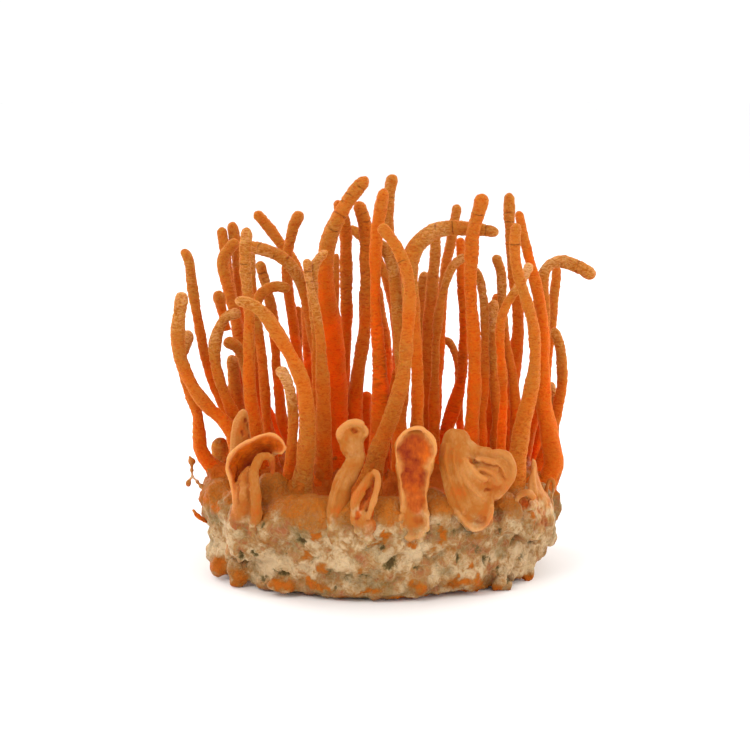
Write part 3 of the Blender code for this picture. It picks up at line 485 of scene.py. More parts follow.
# Orange and pink spots and patches on the film: middle, half sizes, tilt, and how strong they are
SPOTS = (
    (-16.0, 10.2, 1.3, 1.5, 0, 0.8),
    (-14.0, 14.7, 1.0, 1.7, 15, 1.0),
    (-25.8, 13.4, 2.2, 1.0, -20, 0.5),
    (-17.4, 16.8, 5.0, 0.6, -28, 0.7),
    (-12.6, 7.4, 1.9, 1.0, -25, 0.8),
    (-21.7, 3.5, 3.6, 1.2, -4, 1.0),
    (-14.4, 3.8, 2.8, 1.1, -25, 1.0),
    (-12.2, 2.4, 3.0, 0.6, -10, 0.7),
    (-17.2, 6.6, 1.6, 0.7, -20, 0.7),
    (-1.6, 1.8, 3.4, 0.8, 4, 1.0),
    (-3.4, 6.6, 2.0, 0.5, 10, 0.6),
    (1.6, 4.6, 1.8, 0.6, -30, 0.5),
    (1.8, 14.6, 1.2, 1.2, 40, 1.0),
    (0.3, 12.9, 2.2, 0.5, 20, 0.8),
    (8.0, 12.4, 1.3, 0.9, 0, 0.9),
    (13.0, 11.2, 0.7, 1.2, 20, 0.6),
    (15.0, 14.7, 0.8, 2.2, 4, 1.0),
    (9.3, 3.1, 2.2, 1.6, -20, 1.0),
    (19.2, 4.1, 3.8, 1.4, 0, 0.9),
    (23.0, 4.4, 1.2, 1.5, 0, 1.0),
    (21.8, 7.8, 0.9, 1.1, 0, 1.0),
    (26.0, 3.0, 1.2, 0.8, 0, 1.0),
    (23.2, 14.6, 3.6, 0.7, 10, 0.5),
    (17.0, 11.4, 1.8, 1.8, 0, 0.4),
    (-36.5, 7.7, 2.4, 2.6, 0, 1.0),
    (-31.9, 5.4, 2.6, 2.4, 0, 0.8),
    (-36.8, 21.4, 0.9, 1.9, 10, 1.0),
    (-39.6, 23.6, 1.9, 2.6, 0, 1.0),
    (-31.9, 17.4, 0.8, 1.6, 10, 0.6),
    (35.9, 19.2, 1.2, 2.4, 0, 1.0),
    (38.9, 18.2, 0.7, 1.0, 0, 0.9),
)


def linear(hex_colour):
    """The linear colour that shaders take, from an sRGB hex value."""
    parts = [int(hex_colour[start:start + 2], 16) / 255 for start in (1, 3, 5)]
    return tuple(v / 12.92 if v <= 0.04045 else ((v + 0.055) / 1.055) ** 2.4 for v in parts) + (1.0,)


def length_setting(name, description, millimetres):
    return bpy.props.FloatProperty(
        name=name, description=description, default=millimetres * MM, min=0.0, unit="LENGTH", precision=5)


def colour_setting(name, description, hex_colour):
    return bpy.props.FloatVectorProperty(
        name=name, description=description, subtype="COLOR", size=4, min=0.0, max=1.0,
        default=linear(hex_colour))


def light_setting(name, description, strength):
    return bpy.props.FloatProperty(name=name, description=description, default=strength, min=0.0)


class ClubSettings(bpy.types.PropertyGroup):
    """Sizes and colours of the clubs and small buds."""

    ring_spacing: length_setting("Ring spacing", "Distance between the rings of points along a club", 0.42)
    side_width: length_setting("Side width", "Distance between the points round a club", 0.38)
    unevenness: length_setting("Unevenness", "How far the skin swells and sinks on the way up", 0.16)
    crack_depth: length_setting("Crack depth", "Depth of the cracks that run round some tips", 0.14)
    # The colours from deep to pale are the flesh's own change from young orange flesh to dry tips, with
    # painted light in them: the deep colour is bright and saturated as painted light bouncing and shining
    # through between the clubs, and the ochre also stands for the front light on the front clubs
    deep_colour: colour_setting("Deep colour", "Young flesh low in the bunch", "#FF6200")
    shaft_colour: colour_setting("Shaft colour", "Flesh of the shafts", "#D0620C")
    ochre_colour: colour_setting("Ochre colour", "Dry skin at the front and near the tips", "#B87228")
    pale_colour: colour_setting("Pale colour", "Powdery skin of the palest tips", "#D8A468")
    # Painted shade in the valleys of the folds and at the bottoms of the cracks
    crease_shade_colour: colour_setting("Crack colour", "Bottom of the cracks", "#5A2808")
    # Painted shade in the hollows between the fine scales
    scale_shade_colour: colour_setting("Scale colour", "Shade between the fine scales of the skin", "#C88C5C")
    fuzz_colour: colour_setting("Fuzz colour", "Fine down that catches the light at the edges", "#FF9A50")


class LobeSettings(bpy.types.PropertyGroup):
    """Sizes and colours of the lobes."""

    skin_step: length_setting("Skin step", "Spacing of the points on a lobe's skin", 0.26)
    groove_depth: length_setting("Groove depth", "Depth of the lengthwise grooves", 0.06)
    flush_colour: colour_setting("Flush colour", "Where the outer face is thin and moist", "#B4540F")
    outer_colour: colour_setting("Outer colour", "Dry outer face", "#A86220")
    dusty_colour: colour_setting("Dusty colour", "Where the outer face is powdery", "#B87C40")
    # Dark red of the inner faces and dents: partly the moist flesh's own colour, partly painted shade in the
    # hollows and under flaps
    inner_colour: colour_setting("Inner colour", "Moist inner face of a curled lobe", "#802404")
    # Painted glow along thin rims and ridge tops, standing for light that comes through the thin flesh
    rim_glow_colour: colour_setting("Rim colour", "Thin pale rim", "#D09050")


class CakeSettings(bpy.types.PropertyGroup):
    """Sizes and colours of the cake."""

    skin_step: length_setting("Skin step", "Spacing of the points on the cake's skin", 0.52)
    grain_bulge: length_setting("Grain bulge", "How far the grains push the film out", 0.55)
    wrinkle_depth: length_setting("Wrinkle depth", "Depth of the wrinkles in the film", 0.22)
    film_colour: colour_setting("Film colour", "Mycelium film over the grain", "#A07644")
    cream_colour: colour_setting("Cream colour", "Thickest film and its strands", "#C8AA82")
    stain_colour: colour_setting("Stain colour", "Film stained by the clubs", "#9C5C34")
    tan_colour: colour_setting("Tan colour", "Film round the top of the cake", "#965C12")
    warm_colour: colour_setting("Warm colour", "Orange flesh on the film", "#BC5A0A")
    grain_colour: colour_setting("Grain colour", "Cooked grain that shows through", "#76643A")
    # Painted shade at the bottom of the hollows
    pit_shade_colour: colour_setting("Pit colour", "Bottom of the hollows", "#4E3A18")


class StageSettings(bpy.types.PropertyGroup):
    """Floor, lights and camera."""

    floor_radius: length_setting("Floor radius", "Radius of the floor", 4000.0)
    floor_colour: colour_setting("Floor colour", "Pale floor", "#FAFAFA")
    key_power: light_setting("Key power", "Power of the main light", 3.8)
    fill_power: light_setting("Fill power", "Power of the fill light", 1.8)
    back_power: light_setting("Back power", "Power of the two back lights", 4.0)
    sky_strength: light_setting("Sky strength", "Strength of the white surroundings", 1.05)


# Lines as seen from the front


def seen_at(across, up, depth):
    """The point at that depth which is seen at (across, up), and how much smaller it looks."""
    way = FORWARD * EYE_DISTANCE + Vector((across - AIM.x, 0, 0)) + UPWARD * (up - AIM_UP)
    share = (depth - EYE.y) / way.y
    return EYE + way * share, share


def seen_from_front(points):
    """Where the points are seen from the front: an array of (across, up)."""
    away = points - np.array(EYE)
    scale = EYE_DISTANCE / (away @ np.array(FORWARD))
    return np.stack((AIM.x + away[:, 0] * scale, AIM_UP + (away @ np.array(UPWARD)) * scale), axis=1)


def seen_line(points, steps=10):
    """A smooth line through points that are given as (across, up, depth)."""
    return smooth_line([seen_at(*point)[0] for point in points], steps)


def depth_of_club(foot, height):
    """How deep a club is at a height: it leans outwards, bows and sways a little on the way up."""
    across, depth = foot
    rise = height / CLUB_HEIGHT
    bow = BOW * noise.noise(Vector((across, depth, 40.0)) / BOW_SPACING)
    sway = SWAY * math.sin(math.tau * rise + across * 0.7 + depth * 0.4)
    return depth + depth * FAN * rise + bow * rise**2 + sway * min(1.0, rise * 5.0)


def seen_on_club(across, up, foot):
    """The point of a club that is seen at (across, up)."""
    point = seen_at(across, up, foot[1])[0]
    for _ in range(5):
        point = seen_at(across, up, depth_of_club(foot, point.z - CAKE_TOP))[0]
    return point


def smooth_line(points, steps=10):
    """A smooth curve through the points, as a list of close points."""
    line = []
    last = len(points) - 1
    for i in range(last):
        before, start, end, after = points[max(i - 1, 0)], points[i], points[i + 1], points[min(i + 2, last)]
        span = (end - start).length
        leave = (end - before) / max((end - start).length + (start - before).length, 1e-6) * span
        arrive = (after - start) / max((after - end).length + (end - start).length, 1e-6) * span
        for k in range(steps):
            t = k / steps
            line.append(
                start * (2 * t**3 - 3 * t**2 + 1)
                + leave * (t**3 - 2 * t**2 + t)
                + end * (3 * t**2 - 2 * t**3)
                + arrive * (t**3 - t**2)
            )
    line.append(points[last].copy())
    return line


def lengths_along(path):
    steps = np.linalg.norm(np.diff(path, axis=0), axis=1)
    return np.concatenate(([0.0], np.cumsum(steps)))


def values_at(shares, values):
    """The values at shares of the way along evenly spaced ones."""
    values = np.asarray(values, float)
    place = np.clip(shares, 0.0, 1.0) * (len(values) - 1)
    low = np.minimum(place.astype(int), len(values) - 2)
    return values[low] + (values[low + 1] - values[low]) * smoothstep(0.0, 1.0, place - low)


def smoothstep(low, high, values):
    t = np.clip((values - low) / (high - low), 0.0, 1.0)
    return t * t * (3 - 2 * t)


def noise_at(points, size):
    """Smooth noise from about -1 to 1 whose lumps are that size, at an array of points."""
    flat = (points / size).reshape(-1, 3).tolist()
    return np.array([noise.noise(point) for point in flat]).reshape(points.shape[:-1]) * 2


def lumps_at(points, lumps):
    """Noise of one kind of lump: its size, how much closer the lumps lie upwards, and their depth."""
    size, closer, depth = lumps
    return noise_at(points * (1, 1, closer), size) * depth


def wobble_at(points, size):
    """Two kinds of noise of that size, which make the edge of a mark uneven both ways."""
    return np.stack((noise_at(points, size), noise_at(points + 31.0, size)), axis=1)


def unit(vectors):
    return vectors / np.maximum(np.linalg.norm(vectors, axis=-1, keepdims=True), 1e-9)


# Meshes


def add_piece(name, points, faces, marks, material, node=None, slot=None):
    """A smooth piece that rides with the bunch, with a named value at each of its points."""
    mesh = bpy.data.meshes.new(name)
    mesh.from_pydata((points * MM).tolist(), [], faces)
    for mark, values in marks.items():
        mesh.attributes.new(mark, "FLOAT", "POINT").data.foreach_set("value", values.astype(np.float32))
    mesh.shade_smooth()
    mesh.materials.append(material)
    piece = bpy.data.objects.new(name, mesh)
    bpy.context.scene.collection.objects.link(piece)
    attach(piece, BODY)
    if node:
        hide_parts(node)
    return piece


def loft_faces(rings, sides):
    """Faces of a closed skin through rings of points, ending in one point."""
    faces = [tuple(range(sides))]
    for low in range(0, (rings - 1) * sides, sides):
        high = low + sides
        for side in range(sides):
            beside = (side + 1) % sides
            faces.append((low + beside, low + side, high + side, high + beside))
    top = (rings - 1) * sides
    tip = rings * sides
    return faces + [(top + (side + 1) % sides, top + side, tip) for side in range(sides)]


def joined(forms):
    """The points, faces and marks of several forms, as those of one."""
    faces, first = [], 0
    for points, form_faces, _ in forms:
        faces += [tuple(first + corner for corner in face) for face in form_faces]
        first += len(points)
    marks = {mark: np.concatenate([form[2][mark] for form in forms]) for mark in forms[-1][2]}
    return np.concatenate([form[0] for form in forms]), faces, marks


def centre_line(path, places, lengths):
    """Middles of the rings at places along a path, and the two directions that each ring lies in."""
    centres = np.stack([np.interp(places, lengths, path[:, axis]) for axis in range(3)], axis=1)
    along = unit(np.gradient(centres, places, axis=0))
    across = unit(np.cross(along, (0.0, 1.0, 0.0)))
    return centres, across, np.cross(across, along)


def angles_round(sides):
    return math.tau * np.arange(sides) / sides


def ways_round(across, inwards, sides):
    """The ways outwards at the points of each ring, from the two directions that it lies in."""
    angles = angles_round(sides)[:, None]
    return across[:, None] * np.cos(angles) + inwards[:, None] * np.sin(angles)


# Clubs


def club_path(name, ground):
    """The middle line of a club in space, from inside the cake, and its thickness there."""
    foot, thick, seen = CLUBS[name]
    start, share = seen_at(foot[0], FOOT_UP, foot[1])
    above = Vector((start.x, start.y, 60.0)) * MM
    start.z = ground.ray_cast(above, Vector((0, 0, -1)))[0].z / MM + SEAT_GAP
    line = smooth_line([start] + [seen_on_club(across, up, foot) for across, up in seen])
    reach = RIM_REACH - ROOT_INSIDE - thick[0] / 2
    inward = min(1.0, reach / math.hypot(start.x, start.y))
    root = Vector((start.x * inward, start.y * inward, start.z - ROOT_DEPTH))
    return np.array([root] + line), np.array(thick) * share


def tones_of(name):
    """How ochre a club is at even steps from foot to tip: tips are drier, and front clubs are more ochre as
    painted front light.
    """
    middle = MIDDLE_TONE + CLUBS[name][0][1] * TONE_BY_DEPTH
    return TONES.get(name, [middle + step for step in TONE_STEPS])


def ring_places(end, length, spacing, cracks, wrinkle):
    """Where along a club its rings are: closer together at its tip, its cracks and its folds."""
    turns = np.linspace(0.0, math.pi / 2, TIP_RINGS + 1)[1:-1]
    places = [np.linspace(0.0, end, max(6, round(end / spacing))), end + (length - end) * np.sin(turns)]
    places += [crack + CRACK_RINGS for crack in cracks]
    if wrinkle:
        places.append(np.arange(wrinkle[0] * end, wrinkle[1] * end, spacing * 0.6))
    places = np.sort(np.concatenate(places))
    places = places[np.concatenate(([True], np.diff(places) > CLOSEST_RINGS))]
    return places[places < length - 0.02]


def folded(wrinkle, shares, places, turned, fade):
    """How far ring-like folds move the skin out, and how much painted shade darkens their valleys."""
    start, stop, depth = wrinkle
    inside = smoothstep(start, start + 0.08, shares) * (1 - smoothstep(stop - 0.06, stop, shares))
    phase = places / FOLD_SPACING + noise_at(turned, 2.6) * 0.75
    broken = smoothstep(-0.5, 0.3, noise_at(turned + 40.0, 1.7))
    fold = (1 - np.abs(np.sin(math.pi * phase)) ** 0.6) * broken * inside
    return inside * depth * 0.5 * fade - fold * depth * 2.2, fold * min(0.5, depth * 3.5)


def cracked(crack, places, turned, depth):
    """How far a crack round a club moves the skin out, with its lips, and how much painted shade darkens its
    bottom.
    """
    level = turned * (1, 1, 0)
    away = places - crack - noise_at(level + crack * 7, 1.6) * 0.22
    strength = smoothstep(-0.9, 0.1, noise_at(level + crack * 3, 2.4))
    groove = np.exp(-(away / CRACK_WIDTH) ** 2) * strength
    return (np.exp(-(away / LIP_WIDTH) ** 2) * LIP_HEIGHT - groove) * depth, groove * 0.8


def skin_of(path, thick, tones, settings, cracks=(), wrinkle=None, seed=0.0):
    """Points, faces and marks of a club's skin round a path, in millimetres.

    A crack is a place along the path. A wrinkle is the shares where ring-like folds start and end,
    and their depth.
    """
    lengths = lengths_along(path)
    tip_length = thick[-1] * TIP_ROUND
    end = lengths[-1] - tip_length
    places = ring_places(end, lengths[-1], settings.ring_spacing / MM, cracks, wrinkle)
    shares = (places - ROOT_DEPTH) / (end - ROOT_DEPTH)
    above = np.maximum(places - ROOT_DEPTH, 0.0)
    radii = values_at(shares, thick) / 2 * (1 + FOOT_SWELL * np.exp(-above / FOOT_SWELL_HEIGHT))
    radii *= np.sqrt(1 - np.clip((places - end) / tip_length, 0.0, 1.0) ** 2)
    widest = max(thick)
    sides = int(np.clip(round(math.pi * widest / (settings.side_width / MM)), 12, 34))
    angles = angles_round(sides)

    # One column for each side from here on, so that every value is an array of rings and sides
    shares, places, radii = shares[:, None], places[:, None], radii[:, None]
    turned = np.stack((np.cos(angles) * radii, np.sin(angles) * radii, places + 0 * angles), axis=2) + seed
    fade = np.minimum(1.0, radii / (widest * 0.3))
    relief = noise_at(turned, SWELL_SIZE) * settings.unevenness / MM
    for lumps in (KNOBS, FLUTES, SCALES):
        relief += lumps_at(turned, lumps)
    relief = relief * fade + OVAL * np.cos(2 * angles + places * OVAL_TURN + seed) * radii
    # Painted shade in the valleys of the folds and at the bottoms of the cracks
    crease = np.zeros(relief.shape)
    changes = [folded(wrinkle, shares, places, turned, fade)] if wrinkle else []
    changes += [cracked(crack, places, turned, settings.crack_depth / MM) for crack in cracks]
    for moved, darkness in changes:
        relief += moved
        crease = np.maximum(crease, darkness)

    centres, across, inwards = centre_line(path, places[:, 0], lengths)
    points = centres[:, None] + ways_round(across, inwards, sides) * (radii + relief)[..., None]
    # The tone is partly the flesh's own colour and partly painted light, as in tones_of
    tone = values_at(shares, tones) + noise_at(turned, 7.0) * 0.08
    marks = {
        "tone": np.append(tone.reshape(-1), tone[-1].mean()),
        "crease": np.append(crease.reshape(-1), 0.0),
    }
    return np.concatenate((points.reshape(-1, 3), path[-1:])), loft_faces(len(places), sides), marks


def place_of(seen, path):
    """How far along the path the place is that is seen there."""
    lengths = lengths_along(path)
    fine = np.linspace(0.0, lengths[-1], 600)
    line = np.stack([np.interp(fine, lengths, path[:, axis]) for axis in range(3)], axis=1)
    return fine[np.argmin(np.linalg.norm(seen_from_front(line) - np.array(seen), axis=1))]


def build_club(name, ground, settings, material):
    path, thick = club_path(name, ground)
    cracks = [place_of(seen, path) for seen in CRACKS.get(name, ())]
    wrinkle = WRINKLES.get(name, TIP_WRINKLE)
    seed = 13.7 * int(name[-2:])
    skin = skin_of(path, thick, tones_of(name), settings, cracks, wrinkle, seed)
    return add_piece(name + "_flesh", *skin, material, name, "club_orange")


def build_buds(settings, material):
    """The small buds and threads, joined in one piece."""
    skins = []
    for number, (seen, thick, tones) in enumerate(BUDS.values()):
        skins.append(skin_of(np.array(seen_line(seen)), thick, tones, settings, seed=7.3 * number))
    return add_piece("small_buds", *joined(skins), material, slot="club_orange")


# Materials


def add_node(tree, kind, inputs=None, stops=None, output=0, **settings):
    """Adds a node with its own settings and gives back one of its outputs.

    An input is a value or a socket to link, and a stop is a place and a colour on a ramp.
    """
    node = tree.nodes.new(kind)
    for name, value in settings.items():
        setattr(node, name, value)
    for key, value in (inputs or {}).items():
        if isinstance(value, bpy.types.NodeSocket):
            tree.links.new(value, node.inputs[key])
        else:
            node.inputs[key].default_value = value
    if stops:
        ramp = node.color_ramp
        while len(ramp.elements) < len(stops):
            ramp.elements.new(0.5)
        for element, (position, colour) in zip(ramp.elements, stops):
            element.position = position
            element.color = colour
    return node.outputs[output]


def new_material(name, marks=()):
    """An empty material: its shader, the coordinates of the piece in metres, and its marks."""
    material = bpy.data.materials.new(name)
    material.use_nodes = True
    tree = material.node_tree
    shader = tree.nodes["Principled BSDF"]
    place = add_node(tree, "ShaderNodeTexCoord", output="Object")
    marked = [add_node(tree, "ShaderNodeAttribute", output="Fac", attribute_name=mark) for mark in marks]
    return material, tree, shader, place, marked


def club_material(settings):
    """Fresh cordyceps skin: moist flesh under a fine powdery down, grown and never cut.

    The eye sees a matt orange that lets a little light through, glows pale at the edges where the
    down catches the light, and is broken up by fine scales that lie across the club. The hollows
    between the scales, the folds and the cracks are darkened with painted shade, and the tone from
    deep orange to ochre holds painted light as well as the flesh's own colour.
    """
    material, tree, shader, place, (tone, crease) = new_material("fresh cordyceps skin", ("tone", "crease"))
    blotch = add_node(tree, "ShaderNodeTexNoise", {"Vector": place, "Scale": 1 / (4.0 * MM), "Detail": 3.0})
    flat = add_node(tree, "ShaderNodeMapping", {"Vector": place, "Scale": (1.0, 1.0, 2.2)})
    scales = add_node(tree, "ShaderNodeTexNoise", {
        "Vector": flat, "Scale": 1 / (0.85 * MM), "Detail": 3.0, "Roughness": 0.6, "Distortion": 0.8})
    grain = add_node(tree, "ShaderNodeTexNoise", {"Vector": place, "Scale": 1 / (0.28 * MM), "Detail": 2.0})
    # The tone picks a colour from deep to pale: the flesh's own colour with painted light in it
    mixed = add_node(tree, "ShaderNodeMath", {0: blotch, 1: 0.34, 2: tone}, operation="MULTIPLY_ADD")
    mixed = add_node(tree, "ShaderNodeMath", {0: scales, 1: 0.55, 2: mixed}, operation="MULTIPLY_ADD")
    mixed = add_node(tree, "ShaderNodeMath", {0: mixed, 1: 0.45}, operation="SUBTRACT")
    colour = add_node(tree, "ShaderNodeValToRGB", {"Fac": mixed}, stops=(
        (0.0, settings.deep_colour), (0.30, settings.shaft_colour),
        (0.70, settings.ochre_colour), (1.0, settings.pale_colour)))
    # Painted shade in the folds and cracks
    colour = add_node(tree, "ShaderNodeMix", {
        "Factor": crease, "A": colour, "B": settings.crease_shade_colour}, output="Result", data_type="RGBA")
    height = add_node(tree, "ShaderNodeMath", {0: grain, 1: 0.35, 2: scales}, operation="MULTIPLY_ADD")
    # Painted shade: the low places of the scales' bump are darkened by multiplying with the scale shade
    # colour
    shade = add_node(tree, "ShaderNodeValToRGB", {"Fac": height}, stops=(
        (0.46, settings.scale_shade_colour), (0.70, (1.0, 1.0, 1.0, 1.0))))
    colour = add_node(tree, "ShaderNodeMix", {
        "Factor": 0.7, "A": colour, "B": shade}, output="Result", data_type="RGBA", blend_type="MULTIPLY")
    bump = add_node(tree, "ShaderNodeBump", {"Strength": 1.0, "Distance": 0.4 * MM, "Height": height})
    rough = add_node(tree, "ShaderNodeMapRange", {"Value": scales, "To Min": 0.5, "To Max": 0.7})
    tree.links.new(colour, shader.inputs["Base Color"])
    tree.links.new(rough, shader.inputs["Roughness"])
    tree.links.new(bump, shader.inputs["Normal"])
    shader.inputs["IOR"].default_value = 1.40
    shader.inputs["Specular IOR Level"].default_value = 0.08
    shader.inputs["Subsurface Weight"].default_value = 0.6
    shader.inputs["Subsurface Radius"].default_value = (1.0, 0.32, 0.06)
    shader.inputs["Subsurface Scale"].default_value = 1.3 * MM
    shader.inputs["Sheen Weight"].default_value = 1.0
    shader.inputs["Sheen Roughness"].default_value = 0.35
    shader.inputs["Sheen Tint"].default_value = settings.fuzz_colour
    return material


def lobe_material(settings, clubs, cake):
    """Lobe flesh: thin leaves that grew flat and curled, dry outside and moist inside.

    The eye sees an ochre outer face with faint folds and a dark red inner face, partly moist flesh and
    partly painted shade in the hollows, dents and under flaps. The thin rims and the tops of ridges are
    painted pale, a painted glow of the light that comes through the thin leaf.
    """
    material, tree, shader, place, (inner, rim, film) = new_material(
        "curled cordyceps flesh", ("inner", "rim", "film"))
    cloud = add_node(tree, "ShaderNodeTexNoise", {
        "Vector": place, "Scale": 1 / (4.5 * MM), "Detail": 4.0, "Roughness": 0.55})
    stretched = add_node(tree, "ShaderNodeMapping", {
        "Vector": place, "Rotation": (0.0, 0.35, 0.0), "Scale": (1.4, 1.4, 0.7)})
    folds = add_node(tree, "ShaderNodeTexNoise", {
        "Vector": stretched, "Scale": 1 / (1.3 * MM), "Detail": 3.0, "Roughness": 0.6, "Distortion": 1.2})
    grain = add_node(tree, "ShaderNodeTexNoise", {"Vector": place, "Scale": 1 / (0.35 * MM), "Detail": 2.0})
    mixed = add_node(tree, "ShaderNodeMath", {0: folds, 1: 0.45, 2: cloud}, operation="MULTIPLY_ADD")
    outer = add_node(tree, "ShaderNodeValToRGB", {"Fac": mixed}, stops=(
        (0.48, settings.flush_colour), (0.70, settings.outer_colour), (0.98, settings.dusty_colour)))
    # Dark red of the inner faces and dents: moist flesh with painted shade
    moist = add_node(tree, "ShaderNodeValToRGB", {"Fac": mixed}, stops=(
        (0.55, settings.inner_colour), (1.0, clubs.shaft_colour)))
    skin = add_node(tree, "ShaderNodeValToRGB", {"Fac": mixed}, stops=(
        (0.55, cake.stain_colour), (0.72, cake.film_colour), (0.92, cake.cream_colour)))
    faded = add_node(tree, "ShaderNodeMath", {0: cloud, 1: 1.4, 2: film}, operation="MULTIPLY_ADD")
    faded = add_node(tree, "ShaderNodeMapRange", {
        "Value": faded, "From Min": 0.85, "From Max": 1.5}, interpolation_type="SMOOTHSTEP")
    colour = outer
    # Over the outer face: the film, the dark red of the inner faces (moist flesh and painted shade) and the
    # pale rim (painted glow of light through thin edges)
    for amount, other in ((faded, skin), (inner, moist), (rim, settings.rim_glow_colour)):
        colour = add_node(tree, "ShaderNodeMix", {
            "Factor": amount, "A": colour, "B": other}, output="Result", data_type="RGBA")
    height = add_node(tree, "ShaderNodeMath", {0: grain, 1: 0.4, 2: folds}, operation="MULTIPLY_ADD")
    bump = add_node(tree, "ShaderNodeBump", {"Strength": 0.6, "Distance": 0.22 * MM, "Height": height})
    rough = add_node(tree, "ShaderNodeMapRange", {"Value": inner, "To Min": 0.6, "To Max": 0.42})
    tree.links.new(colour, shader.inputs["Base Color"])
    tree.links.new(rough, shader.inputs["Roughness"])
    tree.links.new(bump, shader.inputs["Normal"])
    shader.inputs["IOR"].default_value = 1.40
    shader.inputs["Specular IOR Level"].default_value = 0.15
    shader.inputs["Subsurface Weight"].default_value = 0.4
    shader.inputs["Subsurface Radius"].default_value = (1.0, 0.3, 0.07)
    shader.inputs["Subsurface Scale"].default_value = 1.1 * MM
    shader.inputs["Sheen Weight"].default_value = 0.4
    shader.inputs["Sheen Roughness"].default_value = 0.3
    shader.inputs["Sheen Tint"].default_value = clubs.fuzz_colour
    return material


def cake_material(settings):
    """Mycelium film over cooked grain: a pale skin that grew tight over the swollen kernels.

    The eye sees a cream skin with a satin shine and fine strands, pinkish where the clubs stain it
    and orange at their feet, with grain showing olive brown through the thin places and in the
    hollows, where painted shade darkens it to almost black at their bottoms.
    """
    material, tree, shader, place, (warm, pit, thin, thick) = new_material(
        "mycelium film over cooked grain", ("warm", "pit", "thin", "thick"))
    cloud = add_node(tree, "ShaderNodeTexNoise", {
        "Vector": place, "Scale": 1 / (5.0 * MM), "Detail": 4.0, "Roughness": 0.6})
    blotch = add_node(tree, "ShaderNodeTexNoise", {
        "Vector": place, "Scale": 1 / (1.7 * MM), "Detail": 4.0, "Roughness": 0.65, "Distortion": 1.0})
    grain = add_node(tree, "ShaderNodeTexNoise", {
        "Vector": place, "Scale": 1 / (0.45 * MM), "Detail": 3.0, "Roughness": 0.65})

    # Strands of the film, bent by noise
    bent = add_node(tree, "ShaderNodeTexNoise", {
        "Vector": place, "Scale": 1 / (2.2 * MM), "Detail": 3.0}, output="Color")
    bent = add_node(tree, "ShaderNodeVectorMath", {0: bent, 1: (3.6 * MM,) * 3}, operation="MULTIPLY")
    bent = add_node(tree, "ShaderNodeVectorMath", {0: place, 1: bent}, operation="ADD")
    strands = add_node(tree, "ShaderNodeTexVoronoi", {
        "Vector": bent, "Scale": 1 / (1.9 * MM)}, feature="DISTANCE_TO_EDGE")
    strands = add_node(tree, "ShaderNodeMapRange", {
        "Value": strands, "From Max": 0.16, "To Min": 1.0, "To Max": 0.0}, interpolation_type="SMOOTHSTEP")

    # The film, and the grain that shows through it
    mottled = add_node(tree, "ShaderNodeMath", {0: blotch, 1: 0.6, 2: cloud}, operation="MULTIPLY_ADD")
    mottled = add_node(tree, "ShaderNodeMath", {0: thick, 1: 0.13, 2: mottled}, operation="MULTIPLY_ADD")
    film = add_node(tree, "ShaderNodeValToRGB", {"Fac": mottled}, stops=(
        (0.66, settings.stain_colour), (0.79, settings.film_colour), (0.93, settings.cream_colour)))
    show = add_node(tree, "ShaderNodeMath", {0: blotch, 1: 1.3, 2: thin}, operation="MULTIPLY_ADD")
    show = add_node(tree, "ShaderNodeMapRange", {
        "Value": show, "From Min": 0.85, "From Max": 1.6, "To Max": 0.8}, interpolation_type="SMOOTHSTEP")
    pale = add_node(tree, "ShaderNodeMath", {0: strands, 1: 0.2}, operation="MULTIPLY")

    # Orange flesh at the feet of the clubs
    warmth = add_node(tree, "ShaderNodeMath", {0: blotch, 1: 0.4, 2: warm}, operation="MULTIPLY_ADD")
    warmth = add_node(tree, "ShaderNodeMath", {0: grain, 1: 0.35, 2: warmth}, operation="MULTIPLY_ADD")
    flesh = add_node(tree, "ShaderNodeValToRGB", {"Fac": warmth}, stops=(
        (0.55, settings.tan_colour), (1.0, settings.warm_colour)))
    amount = add_node(tree, "ShaderNodeMapRange", {
        "Value": warmth, "From Min": 0.34, "From Max": 0.78}, interpolation_type="SMOOTHSTEP")

    # Grain colour in the hollows, darkened with painted shade towards their bottoms
    depth = add_node(tree, "ShaderNodeMath", {0: pit, 1: 0.55}, operation="MULTIPLY")
    depth = add_node(tree, "ShaderNodeMath", {0: grain, 1: 0.6, 2: depth}, operation="MULTIPLY_ADD")
    hollow = add_node(tree, "ShaderNodeValToRGB", {"Fac": depth}, stops=(
        (0.50, settings.grain_colour), (0.84, settings.pit_shade_colour)))
    dark = add_node(tree, "ShaderNodeMapRange", {
        "Value": depth, "From Min": 0.36, "From Max": 0.72}, interpolation_type="SMOOTHSTEP")

    colour = film
    layers = (
        (show, settings.grain_colour),
        (pale, settings.cream_colour),
        (amount, flesh),
        (dark, hollow),
    )
    for cover, other in layers:
        colour = add_node(tree, "ShaderNodeMix", {
            "Factor": cover, "A": colour, "B": other}, output="Result", data_type="RGBA")
    height = add_node(tree, "ShaderNodeMath", {0: grain, 1: 0.45, 2: blotch}, operation="MULTIPLY_ADD")
    height = add_node(tree, "ShaderNodeMath", {0: strands, 1: 0.3, 2: height}, operation="MULTIPLY_ADD")
    bump = add_node(tree, "ShaderNodeBump", {"Strength": 0.9, "Distance": 0.45 * MM, "Height": height})
    rough = add_node(tree, "ShaderNodeMapRange", {"Value": blotch, "To Min": 0.42, "To Max": 0.65})
    tree.links.new(colour, shader.inputs["Base Color"])
    tree.links.new(rough, shader.inputs["Roughness"])
    tree.links.new(bump, shader.inputs["Normal"])
    shader.inputs["IOR"].default_value = 1.38
    shader.inputs["Specular IOR Level"].default_value = 0.2
    shader.inputs["Subsurface Weight"].default_value = 0.25
    shader.inputs["Subsurface Radius"].default_value = (1.0, 0.5, 0.25)
    shader.inputs["Subsurface Scale"].default_value = 0.8 * MM
    return material


